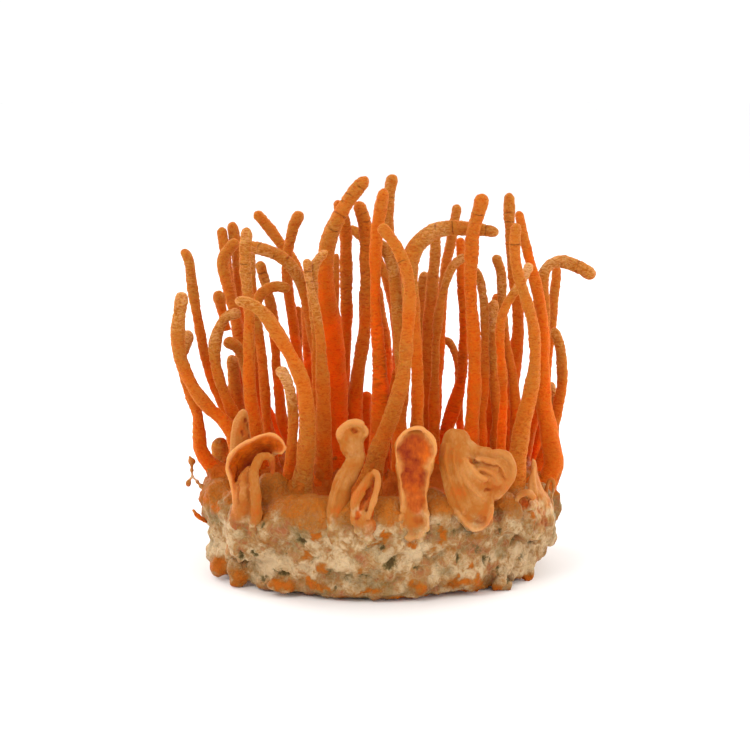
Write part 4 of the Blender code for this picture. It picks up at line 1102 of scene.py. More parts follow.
def floor_material(settings):
    """Painted board: a matt pale paint rolled on, faintly mottled, so that it stays out of the way."""
    material, tree, shader, place, _ = new_material("matt painted board")
    mottle = add_node(tree, "ShaderNodeTexNoise", {"Vector": place, "Scale": 1 / (60.0 * MM), "Detail": 3.0})
    rough = add_node(tree, "ShaderNodeMapRange", {"Value": mottle, "To Min": 0.85, "To Max": 0.95})
    tree.links.new(rough, shader.inputs["Roughness"])
    shader.inputs["Base Color"].default_value = settings.floor_colour
    shader.inputs["Specular IOR Level"].default_value = 0.1
    return material


# Skins grown over several forms


def ground_tree():
    """The top of the cake in the solids, which the clubs stand on."""
    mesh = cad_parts["grain_cake"].data
    corners = [tuple(polygon.vertices) for polygon in mesh.polygons]
    return BVHTree.FromPolygons([vertex.co.copy() for vertex in mesh.vertices], corners)


def ball(middle, half, steps=18):
    """A closed ball stretched to half sizes (across, depth, height): points and faces."""
    angles = angles_round(2 * steps)
    turns = np.linspace(0.0, math.pi, steps + 1)[1:-1, None]
    rows = np.stack((-np.sin(turns) * np.cos(angles), np.sin(turns) * np.sin(angles),
                     -np.cos(turns) + 0 * angles), axis=2)
    points = np.concatenate((rows.reshape(-1, 3), [(0, 0, 1)])) * half + np.array(middle)
    return points, loft_faces(steps - 1, 2 * steps)


def grown_skin(points, faces, step, smoothing):
    """One closed skin over closed forms that overlap: its points, its triangles' corners and normals."""
    mesh = bpy.data.meshes.new("forms")
    mesh.from_pydata((points * MM).tolist(), [], faces)
    forms_object = bpy.data.objects.new("forms", mesh)
    bpy.context.scene.collection.objects.link(forms_object)
    remesh = forms_object.modifiers.new("skin", "REMESH")
    remesh.mode = "VOXEL"
    remesh.voxel_size = step
    smooth = forms_object.modifiers.new("settle", "SMOOTH")
    smooth.factor = 0.5
    smooth.iterations = smoothing
    grown = forms_object.evaluated_get(bpy.context.evaluated_depsgraph_get()).to_mesh()
    skin = read_mesh(grown)
    forms_object.to_mesh_clear()
    bpy.data.objects.remove(forms_object)
    bpy.data.meshes.remove(mesh)
    return skin


def read_mesh(mesh):
    """A mesh's points in millimetres, its faces and the normals at its points."""
    points = np.empty(len(mesh.vertices) * 3)
    mesh.vertices.foreach_get("co", points)
    normals = np.empty(len(mesh.vertices) * 3)
    mesh.vertex_normals.foreach_get("vector", normals)
    faces = [tuple(polygon.vertices) for polygon in mesh.polygons]
    return points.reshape(-1, 3) / MM, faces, normals.reshape(-1, 3)


def cells_at(points, size):
    """Distances to the nearest and the second nearest cell middle, as shares of the cells' size."""
    found = [noise.voronoi(point)[0][:2] for point in (points / size).tolist()]
    return np.array(found).T


def inside_ellipse(places, ellipse, edge):
    """1 at the middle of an ellipse, falling smoothly to 0 between two shares of its size.

    An ellipse starts with its middle (across, up), its two half sizes and its tilt in degrees.
    """
    across, up, half_across, half_up, tilt = ellipse[:5]
    away = places - np.array((across, up))
    turn = math.radians(tilt)
    along = away[:, 0] * math.cos(turn) + away[:, 1] * math.sin(turn)
    beside = -away[:, 0] * math.sin(turn) + away[:, 1] * math.cos(turn)
    return 1 - smoothstep(*edge, np.hypot(along / half_across, beside / half_up))


# The cake


def foot_skirt(path, thick):
    """The skirt of film and flesh that creeps up a club's foot: its points, faces and marks."""
    places = np.linspace(0.2, ROOT_DEPTH + SKIRT_HEIGHT, SKIRT_RINGS)
    centres, across, inwards = centre_line(path, places, lengths_along(path))
    above = np.maximum(places - ROOT_DEPTH, 0.0)
    room = RIM_REACH - math.hypot(*path[1][:2]) - thick[0] / 2
    spread = np.minimum(places / ROOT_DEPTH, 1.0) * min(max(room / SKIRT_ROOM, 0.0), 1.0)
    slopes = sum(width * np.exp(-above / fall) for width, fall in SKIRT_SLOPES)
    radii = np.maximum(thick[0] / 2 * 0.95 + slopes * spread - SKIRT_THINNING * above, 0.4)
    points = centres[:, None] + ways_round(across, inwards, SKIRT_SIDES) * radii[:, None, None]
    tip = centres[-1:] + (0, 0, 0.1)
    return np.concatenate((points.reshape(-1, 3), tip)), loft_faces(SKIRT_RINGS, SKIRT_SIDES), {}


def hidden_marks(count, seed):
    """Ellipses for the hollows and spots round the sides and back, which the front hides."""
    draw = random.Random(seed)
    marks = []
    for _ in range(count):
        bearing = math.radians(draw.uniform(-28, 208))
        marks.append((
            bearing * UNROLLED_RADIUS, draw.uniform(2.0, 17.0), draw.uniform(0.6, 2.2),
            draw.uniform(0.5, 1.2), draw.uniform(-60, 60), draw.uniform(0.5, 1.0)))
    return marks


def rim_lumps():
    """Low lumps of film round the sides and back of the rim: middles and half sizes."""
    draw = random.Random(RIM_LUMP_SEED)
    lumps = []
    for step in range(RIM_LUMPS):
        bearing = math.radians(-25 + 230 * step / (RIM_LUMPS - 1)) + draw.uniform(-0.05, 0.05)
        radius = draw.uniform(33.0, 35.0)
        height = draw.uniform(17.2, 19.0)
        middle = (radius * math.cos(bearing), radius * math.sin(bearing), height)
        lumps.append((middle, (draw.uniform(2.6, 3.8), draw.uniform(2.6, 3.8), draw.uniform(2.6, 4.2))))
    return lumps


def cake_forms(ground, node):
    """What the cake's skin grows over: the solid, a skirt round each foot, swellings and lumps."""
    forms = [(*read_mesh(node.data)[:2], {})]
    feet = []
    for name in CLUBS:
        path, thick = club_path(name, ground)
        forms.append(foot_skirt(path, thick))
        feet.append((*path[1][:2], thick[0] / 2))
    for across, up, depth, half_across, half_up, half_depth in SWELLINGS:
        forms.append((*ball(seen_at(across, up, depth)[0], (half_across, half_depth, half_up)), {}))
    forms += [(*ball(middle, half), {}) for middle, half in rim_lumps()]
    return forms, feet


def warmth_of(skin, feet, radius):
    """How much orange flesh there is on the top of the cake and round the feet of the clubs."""
    height = skin[:, 2] + noise_at(skin, 5.0) * 1.8 + noise_at(skin, 1.8) * 0.8
    top = smoothstep(*TOP_HEIGHTS, height)
    warm = top * (0.9 - 0.55 * smoothstep(*DRY_RADII, radius))
    for across, depth, foot_radius in feet:
        away = np.hypot(skin[:, 0] - across, skin[:, 1] - depth) - foot_radius
        strong = min(0.85, 0.74 + depth * 0.008)
        warm = np.maximum(warm, strong * np.exp(-(np.maximum(away, 0.0) / 2.2) ** 2) * top)
    return warm


def grain_relief(skin, unrolled, pleated, settings):
    """How far grains, folds and pleats move the film on the side of the cake out.

    With it come each point's distance to the middle of its grain, and how near to a seam it is.
    """
    shift = noise_at(skin, 4.0) * 0.9 + noise_at(skin + 17.0, 1.6) * 0.35
    bent = skin * (1, 1, 1.15) + shift[:, None]
    nearest, second = cells_at(bent, GRAIN_SIZE)
    seam = np.exp(-((second - nearest) / SEAM_WIDTH) ** 2)
    small = cells_at(bent + 60.0, SMALL_GRAIN_SIZE)[0]
    grains = (0.55 - nearest) * settings.grain_bulge / MM * 1.5 + (0.5 - small) * 0.30 - seam * 0.12
    folds = noise_at(skin * (1, 1, 0.5) + 9.0, 1.9) + 0.7 * noise_at(skin * (1, 1, 0.6), 0.95)
    ridges = 1 - np.abs(noise_at(skin * (1, 1, 0.7) + 90.0, 2.4)) * 2.2
    wrinkles = (folds + 0.8 * ridges) * settings.wrinkle_depth / MM
    pleats = noise_at(np.stack((unrolled[:, 0], skin[:, 2] * 0.16, 0 * skin[:, 2]), axis=1), 1.5)
    return grains + wrinkles + pleated * pleats * 0.6, nearest, seam


def build_cake(ground, node, settings, material):
    """Grows the film over the cake, gives it grains, folds, hollows and spots, and marks them."""
    forms, feet = cake_forms(ground, node)
    skin, corners, normals = grown_skin(*joined(forms)[:2], settings.skin_step, CAKE_SMOOTHING)
    seen = seen_from_front(skin)
    bearing = np.arctan2(skin[:, 1], skin[:, 0])
    bearing = np.where(bearing < -math.pi / 2 - 0.5, bearing + math.tau, bearing)
    radius = np.hypot(skin[:, 0], skin[:, 1])
    height = skin[:, 2]
    unrolled = np.stack((bearing * UNROLLED_RADIUS, height), axis=1)
    side = smoothstep(*SIDE_RADII, radius) * (1 - smoothstep(*SIDE_HEIGHTS, height))
    in_front = (skin[:, 1] < FRONT_DEPTH) & (normals[:, 1] < 0.15) & (radius > FRONT_RADIUS)
    behind = ~in_front & (radius > BACK_RADIUS)

    pleated = smoothstep(*PLEATS_ACROSS, seen[:, 0]) * in_front
    relief, nearest, seam = grain_relief(skin, unrolled, pleated, settings)
    relief = side * relief + (1 - side) * (noise_at(skin, 2.6) * 0.35 + noise_at(skin, 1.1) * 0.14)
    warm = warmth_of(skin, feet, radius)
    pit = np.zeros(len(skin))
    thick = noise_at(skin + 70.0, 9.0) * 0.6

    # Hollows, spots and pale film that the photo shows at the front, and guessed ones behind
    wobble = wobble_at(skin, 1.3) * 0.45 + wobble_at(skin, 0.7) * 0.3
    for hollow in HOLLOWS:
        depth, dark = hollow[5:]
        inside = inside_ellipse(seen + wobble, hollow, HOLLOW_EDGE) * in_front
        lip = inside_ellipse(seen + wobble, hollow, HOLLOW_LIP) * in_front
        relief += (lip - inside) * 0.18 - inside * depth * 0.75
        # The pit mark sets how far painted shade darkens the hollow's bottom
        pit = np.maximum(pit, inside * dark)
    for spot in SPOTS:
        inside = inside_ellipse(seen + wobble * 1.3, spot, SPOT_EDGE) * in_front
        lip = inside_ellipse(seen + wobble, spot, SPOT_LIP) * in_front
        relief += (lip - inside) * 0.2 + inside * 0.08
        warm = np.maximum(warm, inside * spot[5] * 0.52)
    for pale in PALE_FILM:
        thick = np.maximum(thick, inside_ellipse(seen + wobble * 2.0, pale, PALE_EDGE) * in_front)
    for hollow in hidden_marks(*HIDDEN_HOLLOWS):
        inside = inside_ellipse(unrolled + wobble, hollow, HOLLOW_EDGE) * behind
        relief -= inside * hollow[5] * 0.6
        # Painted shade in the guessed hollows too
        pit = np.maximum(pit, inside * hollow[5])
    for spot in hidden_marks(*HIDDEN_SPOTS):
        inside = inside_ellipse(unrolled + wobble * 1.3, spot, SPOT_EDGE) * behind
        warm = np.maximum(warm, inside * spot[5] * 0.45)
    bottom = 1 - smoothstep(0.2, 2.6, height)
    warm = np.maximum(warm, bottom * side * smoothstep(-0.3, 0.5, noise_at(skin, 3.4)) * 0.6)
    thin = smoothstep(0.25, 0.75, nearest) * side * 0.8 - seam * 0.2
    thin *= 1 - 0.6 * np.maximum(thick, 0.0)

    # The flat underside stays flat
    skin = skin + normals * (relief * smoothstep(0.0, 0.6, height))[:, None]
    skin[:, 2] = np.maximum(skin[:, 2], 0.0)
    marks = {"warm": warm, "pit": pit, "thin": thin, "thick": thick}
    return add_piece("grain_cake_film", skin, corners, marks, material, "grain_cake", "grain_cream")


# Lobes

# Each lobe grows over sheets, stalks and balls. Points are (across, up, depth).
# sheet: rows of points, thickness, how much thicker the rim is, how dark red its two faces are
# (moist flesh and painted shade)
# stalk: points, breadths, thicknesses in depth, how dark red (moist flesh and painted shade), how
# pale (painted glow of light through thin flesh); thin ones make folds
# ball: middle, half sizes across, in depth and upwards, how dark red (moist flesh and painted shade)
# dent: middle (across, up), half sizes, tilt, depth, how dark red its bottom is (moist flesh and
# painted shade)
LOBES = {
    "curled_lobe": {
        "sheets": (
            ((((-31.8, 14, -25.6), (-32.6, 19, -32.2), (-33.3, 23.6, -34), (-34.1, 28, -34.5),
               (-34.8, 30.9, -34.5), (-33.9, 33.4, -34.8), (-31.6, 35.8, -35), (-28.9, 37.1, -35),
               (-26.8, 38.1, -35), (-24.6, 38.5, -35), (-22.6, 37.7, -35), (-21.2, 36.2, -34.8),
               (-20.9, 34.8, -34.4), (-22.0, 33.4, -34)),
              ((-31, 14, -25.6), (-31.6, 19, -31.8), (-32.1, 23.6, -33.1), (-32.8, 28, -33.1),
               (-33.3, 30.7, -33.2), (-32.5, 32.7, -33.4), (-30.8, 34.5, -33.6), (-28.6, 35.7, -33.6),
               (-26.7, 36.5, -33.6), (-24.8, 36.8, -33.6), (-23.2, 36.3, -33.6), (-22.3, 35.4, -33.6),
               (-22.2, 34.5, -33.6), (-22.6, 33.6, -33.4)),
              ((-30, 14, -25.4), (-30.4, 19, -31.0), (-30.8, 23.6, -31.8), (-31.4, 28, -31.4),
               (-31.7, 30.2, -31.2), (-31.1, 31.7, -31.2), (-29.8, 33.1, -31.2), (-28.2, 34, -31.2),
               (-26.6, 34.7, -31.2), (-25.1, 34.9, -31.4), (-24.1, 34.6, -31.8), (-23.6, 34.2, -32.2),
               (-23.4, 33.8, -32.6), (-23.3, 33.5, -32.9)),
              ((-28.6, 14, -25.4), (-28.8, 19, -30.6), (-28.8, 23, -31), (-29, 26.6, -30.4),
               (-29.2, 28.6, -29.8), (-28.9, 30, -29.6), (-28.1, 31.1, -29.6), (-27, 31.8, -29.6),
               (-26, 32.2, -29.8), (-25.1, 32.4, -30.2), (-24.6, 32.6, -30.8), (-24.3, 32.8, -31.4),
               (-24, 33, -32), (-23.8, 33.2, -32.4))),
             0.85, 0.06, (0.0, 1.0)),
        ),
        "stalks": (
            (((-30.4, 11, -24.6), (-30.6, 16, -30), (-30.6, 21, -33), (-30.4, 25.6, -34),
              (-29.6, 28.8, -34.2),
              (-28.6, 30.8, -34.2)),
             (8.4, 7.6, 6.4, 5.4, 4.2, 2.4), (3.6, 3.2, 3.0, 2.8, 2.4, 1.8), 0.15),
            (((-28.3, 11, -25.4), (-28.2, 15.6, -31.4), (-27.8, 19.8, -34.6), (-27.7, 22.6, -35.6),
              (-28.1, 25.2, -35.6), (-28.4, 27.6, -35.6), (-28.3, 29.8, -35.6), (-27.7, 31.6, -35.6),
              (-26.6, 32.9, -35.4), (-25.1, 33.1, -35), (-24, 32.5, -34.6)),
             (5.4, 4.4, 3.3, 2.6, 2.3, 2.2, 2.0, 1.5), (3.4, 3.0, 2.6, 2.3, 2.1, 2.0, 1.8, 1.4)),
            (((-24.3, 32.8, -34.6), (-24.1, 31.6, -34.6), (-24, 30.2, -34.6), (-24.1, 28.9, -34.6)),
             (1.7, 1.3, 0.7), (1.5, 1.1, 0.7), 0.7),
        ),
        "dents": ((-32.0, 26.5, 0.3, 4.6, 2, 0.5, 0.6), (-29.6, 26.6, 0.3, 3.6, 2, 0.3, 0.4)),
    },
    "torn_flap": {
        "sheets": (
            ((((-32.6, 21.5, -17), (-31.2, 21.5, -17.8), (-29.8, 21.5, -17.2)),
              ((-33.2, 27, -17), (-31.2, 27, -18.2), (-29.4, 27, -17.4)),
              ((-33.6, 33, -17.5), (-31.4, 33, -19), (-28.9, 33.5, -17.5)),
              ((-33.5, 37.5, -18), (-31.4, 37.5, -19.4), (-28.9, 37.3, -18)),
              ((-33, 41, -18), (-31.4, 41.2, -19), (-29.4, 40.2, -18)),
              ((-31.6, 43.3, -18), (-30.7, 43.9, -18.2), (-29.9, 43.4, -18))),
             1.5, 0.0, (0.0, 0.4)),
        ),
        "stalks": (
            (((-33.4, 33, -18.6), (-33.2, 37, -19), (-32.5, 40.6, -19.2), (-31, 43, -18.8)),
             (0.9, 1.1, 0.9), (0.9, 1.0, 0.8), 0.0, 0.6),
        ),
        "dents": ((-29.2, 38.6, 0.4, 2.2, 12, 0.5, 1.0), (-30.2, 41.2, 0.5, 0.5, 0, 0.4, 0.6),
                  (-31.0, 38.4, 0.4, 0.6, 0, 0.4, 0.5)),
    },
    "ear_lobe": {
        "stalks": (
            (((-9.2, 10.5, -34), (-9.4, 15, -37.4), (-9.3, 19, -38.8), (-8.9, 22, -39), (-8, 26, -38.6),
              (-6.4, 29.6, -37.8), (-4.7, 32.8, -36.8), (-4.4, 35, -36.2)),
             (6.4, 5.4, 4.9, 4.7, 4.6, 4.4, 3.9, 3.2), (3.6, 3.2, 3.0, 2.8, 2.6, 2.6, 2.4)),
            (((-10.6, 12.6, -37.2), (-10.5, 17.5, -39.8), (-10, 22, -40.4), (-8.9, 26, -40),
              (-7.4, 29.4, -39.2)),
             (0.8, 0.9, 0.8), (0.8, 0.8, 0.7)),
            (((-3.2, 40.4, -37.4), (-4.8, 41.1, -38), (-6.6, 40.8, -38.2), (-8.3, 39.6, -38),
              (-9.1, 37.6, -37.6)), (1.0, 1.2, 1.1, 0.9), (1.0, 1.0, 0.9), 0.0, 0.7),
            (((-2.6, 37.6, -37.4), (-2.2, 38.8, -37.4), (-2.9, 40.2, -37.4)),
             (0.9, 0.9, 0.8), (0.9, 0.9, 0.8), 0.0, 0.5),
        ),
        "balls": (
            ((-5.9, 38.0, -36.6), (3.3, 2.0, 3.0)),
            ((-5.7, 35.4, -36.7), (2.6, 1.9, 2.9)),
            ((-3.8, 38.6, -36.2), (1.8, 1.5, 1.8)),
        ),
        "dents": ((-5.2, 39.0, 1.0, 0.7, -20, 0.9, 0.9), (-7.2, 33.6, 1.4, 0.35, -35, 0.25, 0.2)),
    },
    "hooked_stub": {
        "stalks": (
            (((-1.9, 12.5, -36), (-2.6, 15.4, -40), (-3.9, 18.6, -41.2), (-4.3, 21.8, -41.2),
              (-3.5, 25.2, -40.8), (-2, 27.9, -40.2), (-0.9, 29.3, -39.8)),
             (4.2, 3.9, 3.7, 3.4, 3.0, 2.3, 1.5), (3.2, 3.0, 2.6, 2.4, 2.2, 1.8, 1.3)),
            (((-2.4, 18, -40.4), (-2.2, 22, -40.6), (-1.7, 26, -40.2), (-1.4, 28, -39.8)),
             (2.6, 3.0, 2.6, 1.6), (1.4, 1.4, 1.3), 1.0),
            (((-2, 18.6, -42), (-1.6, 20.4, -42.2), (-0.9, 22.8, -42.2), (-0.1, 25.4, -41.8),
              (0.2, 27.8, -41),
              (-0.2, 29.3, -40.2), (-1.2, 29.6, -40)),
             (0.9, 1.3, 1.5, 1.5, 1.3, 1.1), (0.9, 1.2, 1.3, 1.2, 1.0), 0.0, 0.35),
            (((-5.4, 17, -41), (-5.8, 20.5, -41.8), (-5.2, 24, -41.8), (-3.5, 27, -41)),
             (0.8, 1.0, 0.8), (0.8, 0.9, 0.7), 0.0, 0.2),
        ),
        "balls": (((-1.8, 17.0, -41.0), (1.6, 1.2, 2.0), 0.3),),
        "dents": ((-2.5, 23.4, 3.3, 0.55, 62, 0.6, 1.0), (-4.4, 19.2, 0.8, 1.2, 0, 0.35, 1.0),
                  (-3.2, 21.6, 1.6, 0.5, 55, 0.2, 0.8)),
    },
    "paddle_lobe": {
        "stalks": (
            (((8, 10.5, -34), (8.1, 15, -38), (8.3, 19, -39.4), (8.3, 22.6, -39.6), (8.4, 26.6, -39.8),
              (8.6, 30.4, -40), (8.8, 33.8, -40), (8.9, 36.6, -39.8), (9.0, 39.3, -39.4)),
             (5.6, 6.7, 6.5, 5.6, 5.9, 6.9, 8.4, 9.0, 8.2), (3.0, 3.2, 2.8, 2.5, 2.5, 2.6, 2.8, 2.4)),
            (((4.9, 31.2, -40.6), (4.4, 33.6, -41), (5.0, 36.6, -41), (6.9, 39.0, -40.8), (9.4, 39.6, -40.8),
              (11.8, 38.2, -41), (13.2, 35.7, -41), (13.2, 33.4, -40.8), (12.3, 31.6, -40.6)),
             (0.5, 0.6, 0.8, 0.9, 1.1, 1.0, 0.6), (0.6, 0.8, 1.0, 1.0, 0.8), 0.0, 0.9),
            (((5.6, 20.5, -40.4), (5.9, 24, -40.8), (5.5, 28, -41), (4.9, 31.6, -40.8)),
             (0.8, 0.8, 0.7), (0.8, 0.8, 0.7), 0.0, 0.5),
            (((11.2, 20.5, -40.4), (11.1, 24, -40.8), (11.6, 28, -41), (12.3, 31.6, -40.8)),
             (0.8, 0.8, 0.7), (0.8, 0.8, 0.7), 0.0, 0.5),
            (((5.4, 19.5, -40.2), (5.2, 16.6, -40.2), (6.4, 14.6, -39.6), (8.6, 14.2, -39.8),
              (10.8, 15.4, -40),
              (11.6, 17.8, -40.4), (11.4, 20.6, -40.4)), (0.8, 0.9, 0.8), (0.8, 0.8, 0.7), 0.0, 0.4),
        ),
        "dents": ((8.7, 34.2, 4.1, 4.0, 0, 0.5, 1.0), (8.4, 28.2, 2.9, 4.6, 2, 0.45, 1.0),
                  (8.9, 23.0, 2.2, 3.4, 4, 0.4, 0.85), (9.6, 18.4, 1.2, 1.4, 0, 0.25, 0.4)),
    },
    "folded_lobe": {
        "stalks": (
            (((18.3, 37.6, -35.6), (18, 35, -36.6), (18.2, 32, -37.4), (19.2, 28.6, -38.2),
              (20.8, 24.8, -38.4),
              (22, 21.4, -37.8), (22.9, 18.2, -36.8), (23, 16.0, -35)),
             (5.2, 7.0, 7.6, 8.6, 9.4, 9.2, 7.4, 5.4), (3.0, 3.4, 3.6, 3.8, 3.8, 3.4, 3.0, 2.4)),
            (((20.4, 35.4, -35.6), (22.6, 34.2, -36.4), (25, 33.6, -37), (27, 33.9, -37.4)),
             (3.4, 3.2, 3.0), (2.8, 2.6, 2.4)),
            (((25.2, 33.6, -37.6), (27.2, 34, -38), (29.2, 33.8, -38.2), (31, 32.2, -38.2),
              (31.5, 29.8, -38.2),
              (30.6, 27.2, -38.2), (29, 25, -38), (27.4, 23.7, -37.4)),
             (1.3, 1.5, 1.5, 1.4, 1.2), (1.3, 1.4, 1.3, 1.2), 0.0, 0.25),
            (((20.9, 32.6, -38.6), (21.8, 30.2, -39.4), (23.4, 28.6, -39.8), (25.4, 27.6, -39.6)),
             (1.3, 1.3, 1.0), (1.2, 1.2, 0.9), 0.0, 0.5),
            (((22.6, 32.3, -38.4), (24.6, 32.3, -39), (26.8, 31.6, -39.2), (28.6, 30.2, -39.2),
              (29.4, 28.4, -39)), (1.1, 1.2, 0.9), (1.1, 1.1, 0.9), 0.0, 0.3),
            (((23.4, 30.2, -38.8), (25.2, 29.9, -39.4), (27, 28.8, -39.4), (27.9, 27, -39)),
             (0.9, 1.0, 0.8), (0.9, 1.0, 0.8), 0.0, 0.3),
            (((16, 36, -38), (15.8, 32, -38.8), (17, 27.6, -39.8), (18.6, 23.4, -40), (20.2, 19.6, -39.4)),
             (0.8, 0.9, 0.7), (0.8, 0.9, 0.7)),
            (((17.6, 34.6, -38.6), (18, 30.6, -39.8), (19.6, 26.4, -40.4), (21.2, 22.6, -40.2)),
             (0.8, 0.9, 0.7), (0.8, 0.9, 0.7)),
            (((19.4, 30.2, -39.6), (21, 26.8, -40.4), (23, 24.4, -40.4), (25, 23, -39.6)),
             (0.8, 0.9, 0.7), (0.8, 0.9, 0.7), 0.0, 0.2),
            (((18.6, 20.2, -38.8), (20, 17.8, -38.4), (22.2, 16.2, -38), (24.6, 16.6, -38.2),
              (26.2, 18.8, -38.4), (26.8, 21.6, -38.4)), (0.7, 0.8, 0.7), (0.8, 0.9, 0.8), 0.0, 0.5),
        ),
        "balls": (((18.2, 36.4, -36.0), (3.1, 1.9, 2.9)), ((26.9, 29.2, -37.2), (4.4, 2.0, 4.6)),
                  ((27.0, 25.6, -36.6), (2.4, 1.8, 2.6), 0.3)),
        "dents": ((21.8, 32.2, 1.1, 0.7, -50, 0.5, 0.7), (25.4, 25.2, 0.9, 0.5, 25, 0.5, 0.6),
                  (28.4, 29.6, 2.6, 0.3, -60, 0.3, 0.4), (26.2, 30.9, 2.2, 0.3, -20, 0.3, 0.4),
                  (24.0, 18.4, 1.4, 1.0, 0, 0.2, 0.4)),
    },
    "rim_flap": {
        "sheets": (
            ((((34.0, 14.5, -21), (36.4, 14, -19), (38.8, 14, -14)),
              ((34.2, 17.5, -25.4), (36.8, 17, -24), (39.8, 17.2, -18)),
              ((34.8, 23.5, -24.6), (36.8, 23.5, -24), (39.9, 22.2, -19)),
              ((35.2, 27, -22), (36.2, 27, -22), (37.6, 25.5, -20)),
              ((35.4, 30.3, -20), (35.9, 30.4, -20.2), (36.4, 29.6, -19.8)),
              ((35.7, 32.2, -19.5), (35.9, 32.5, -19.6), (36.1, 32.1, -19.5))),
             1.5, 0.0, (0.0, 0.3)),
        ),
        "stalks": (
            (((38.6, 19, -15), (38.8, 23, -15.5), (39.2, 26.6, -15.5), (40.1, 28, -15.5), (40.7, 26.6, -15.5),
              (40.2, 23, -15), (39.6, 20, -15)), (0.9, 0.8, 0.8, 0.8, 0.8, 0.9), (0.8, 0.8, 0.8, 0.8)),
            (((31.2, 20.5, -28.5), (32, 23, -29.4), (33.4, 24.4, -29.4), (34.9, 24.6, -28.8),
              (36, 23, -27.6)),
             (1.8, 1.5, 1.4, 1.6), (1.8, 1.5, 1.5), 0.0, 0.3),
            (((36, 30.5, -21), (36.2, 26.5, -23.4), (36.8, 22, -25.4), (37.2, 17.5, -19)),
             (0.8, 1.1, 1.1), (0.8, 1.0, 1.0), 0.0, 0.4),
            (((36.3, 29, -20.8), (37.6, 25, -22), (38.8, 21, -21.6), (40, 17, -17)),
             (0.7, 1.0, 1.1), (0.7, 0.9, 1.0), 0.0, 0.4),
            (((35.6, 29.5, -21), (35.2, 26, -23.6), (34.9, 22, -26), (34.0, 15.5, -23.5)),
             (0.8, 1.0, 1.2), (0.8, 1.0, 1.0), 0.0, 0.4),
        ),
        "balls": (((33.6, 21.6, -26.0), (2.6, 2.2, 2.6)), ((37.8, 19.6, -20.6), (2.6, 2.4, 3.6))),
        "dents": ((34.0, 22.2, 1.3, 1.2, 0, 0.7, 1.0), (37.5, 21.0, 0.3, 4.0, 12, 0.4, 0.7),
                  (38.8, 18.0, 0.3, 3.0, 8, 0.3, 0.5)),
    },
    "beaded_sprig": {
        "stalks": (
            (((-43.2, 33.2, -4), (-42.6, 31.9, -4), (-42.6, 29.8, -4), (-42.4, 28.5, -4), (-41.6, 27.6, -4.5),
              (-40.6, 26.4, -5), (-39.2, 24.2, -7)), (0.7, 0.6, 0.5, 0.6, 0.8), (0.6, 0.6, 0.6)),
            (((-42.4, 28.6, -4), (-42.9, 27.9, -4), (-43.3, 27.2, -4)), (0.6, 0.5), (0.5, 0.5)),
        ),
        "balls": (((-42.6, 31.9, -4), (0.85, 0.7, 0.8)), ((-42.6, 29.8, -4), (0.5, 0.5, 0.6)),
                  ((-43.4, 26.9, -4), (0.72, 0.6, 1.0)), ((-41.3, 27.3, -4.6), (0.5, 0.5, 0.6)),
                  ((-40.4, 26.0, -5.2), (0.65, 0.6, 0.7))),
        "dents": (),
    },
}


def leaf_faces(rows, columns):
    """Faces of a closed leaf over a grid of points: its front, its back and the border between them."""
    numbers = np.arange(rows * columns).reshape(rows, columns)
    front = np.stack((numbers[:-1, :-1], numbers[:-1, 1:], numbers[1:, 1:], numbers[1:, :-1]), axis=2)
    front = front.reshape(-1, 4)
    back = front[:, ::-1] + numbers.size
    start = np.concatenate((numbers[0], numbers[1:, -1], numbers[-1, -2::-1], numbers[-2:0:-1, 0]))
    end = np.roll(start, -1)
    border = np.stack((end, start, start + numbers.size, end + numbers.size), axis=1)
    return np.concatenate((front, back, border)).tolist()


def edge_distances(grid):
    """How far each point of a grid is from the nearest edge of the grid."""
    distances = []
    for axis in (0, 1):
        gaps = np.linalg.norm(np.diff(grid, axis=axis), axis=2)
        run = np.cumsum(np.insert(gaps, 0, 0.0, axis=axis), axis=axis)
        distances += [run, run.take([-1], axis=axis) - run]
    return np.minimum.reduce(distances)


def sheet_form(rows, thick, rim, moist):
    """A leaf of flesh through rows of seen points: its points, faces and marks at the points."""
    lines = [seen_line(row, LEAF_STEPS) for row in rows]
    columns = [smooth_line(list(column), LEAF_STEPS) for column in zip(*lines)]
    grid = np.array(columns).transpose(1, 0, 2)
    normals = unit(np.cross(np.gradient(grid, axis=1), np.gradient(grid, axis=0)))
    edge = edge_distances(grid)
    soft = thick * 0.6
    half = thick / 2 * np.sqrt(np.maximum(1 - (1 - np.minimum(edge / soft, 1.0)) ** 2, 0.02))
    half += rim * np.exp(-((edge - soft) / soft) ** 2)
    away = normals * half[..., None]
    points = np.concatenate((grid + away, grid - away)).reshape(-1, 3)
    # Painted glow along the thin edge, and the dark red of each face: moist flesh and painted shade
    near_rim = np.exp(-(edge / (thick * 0.55)) ** 2).reshape(-1)
    marks = {"inner": np.repeat(moist, edge.size), "rim": np.tile(near_rim, 2)}
    return points, leaf_faces(*edge.shape), marks


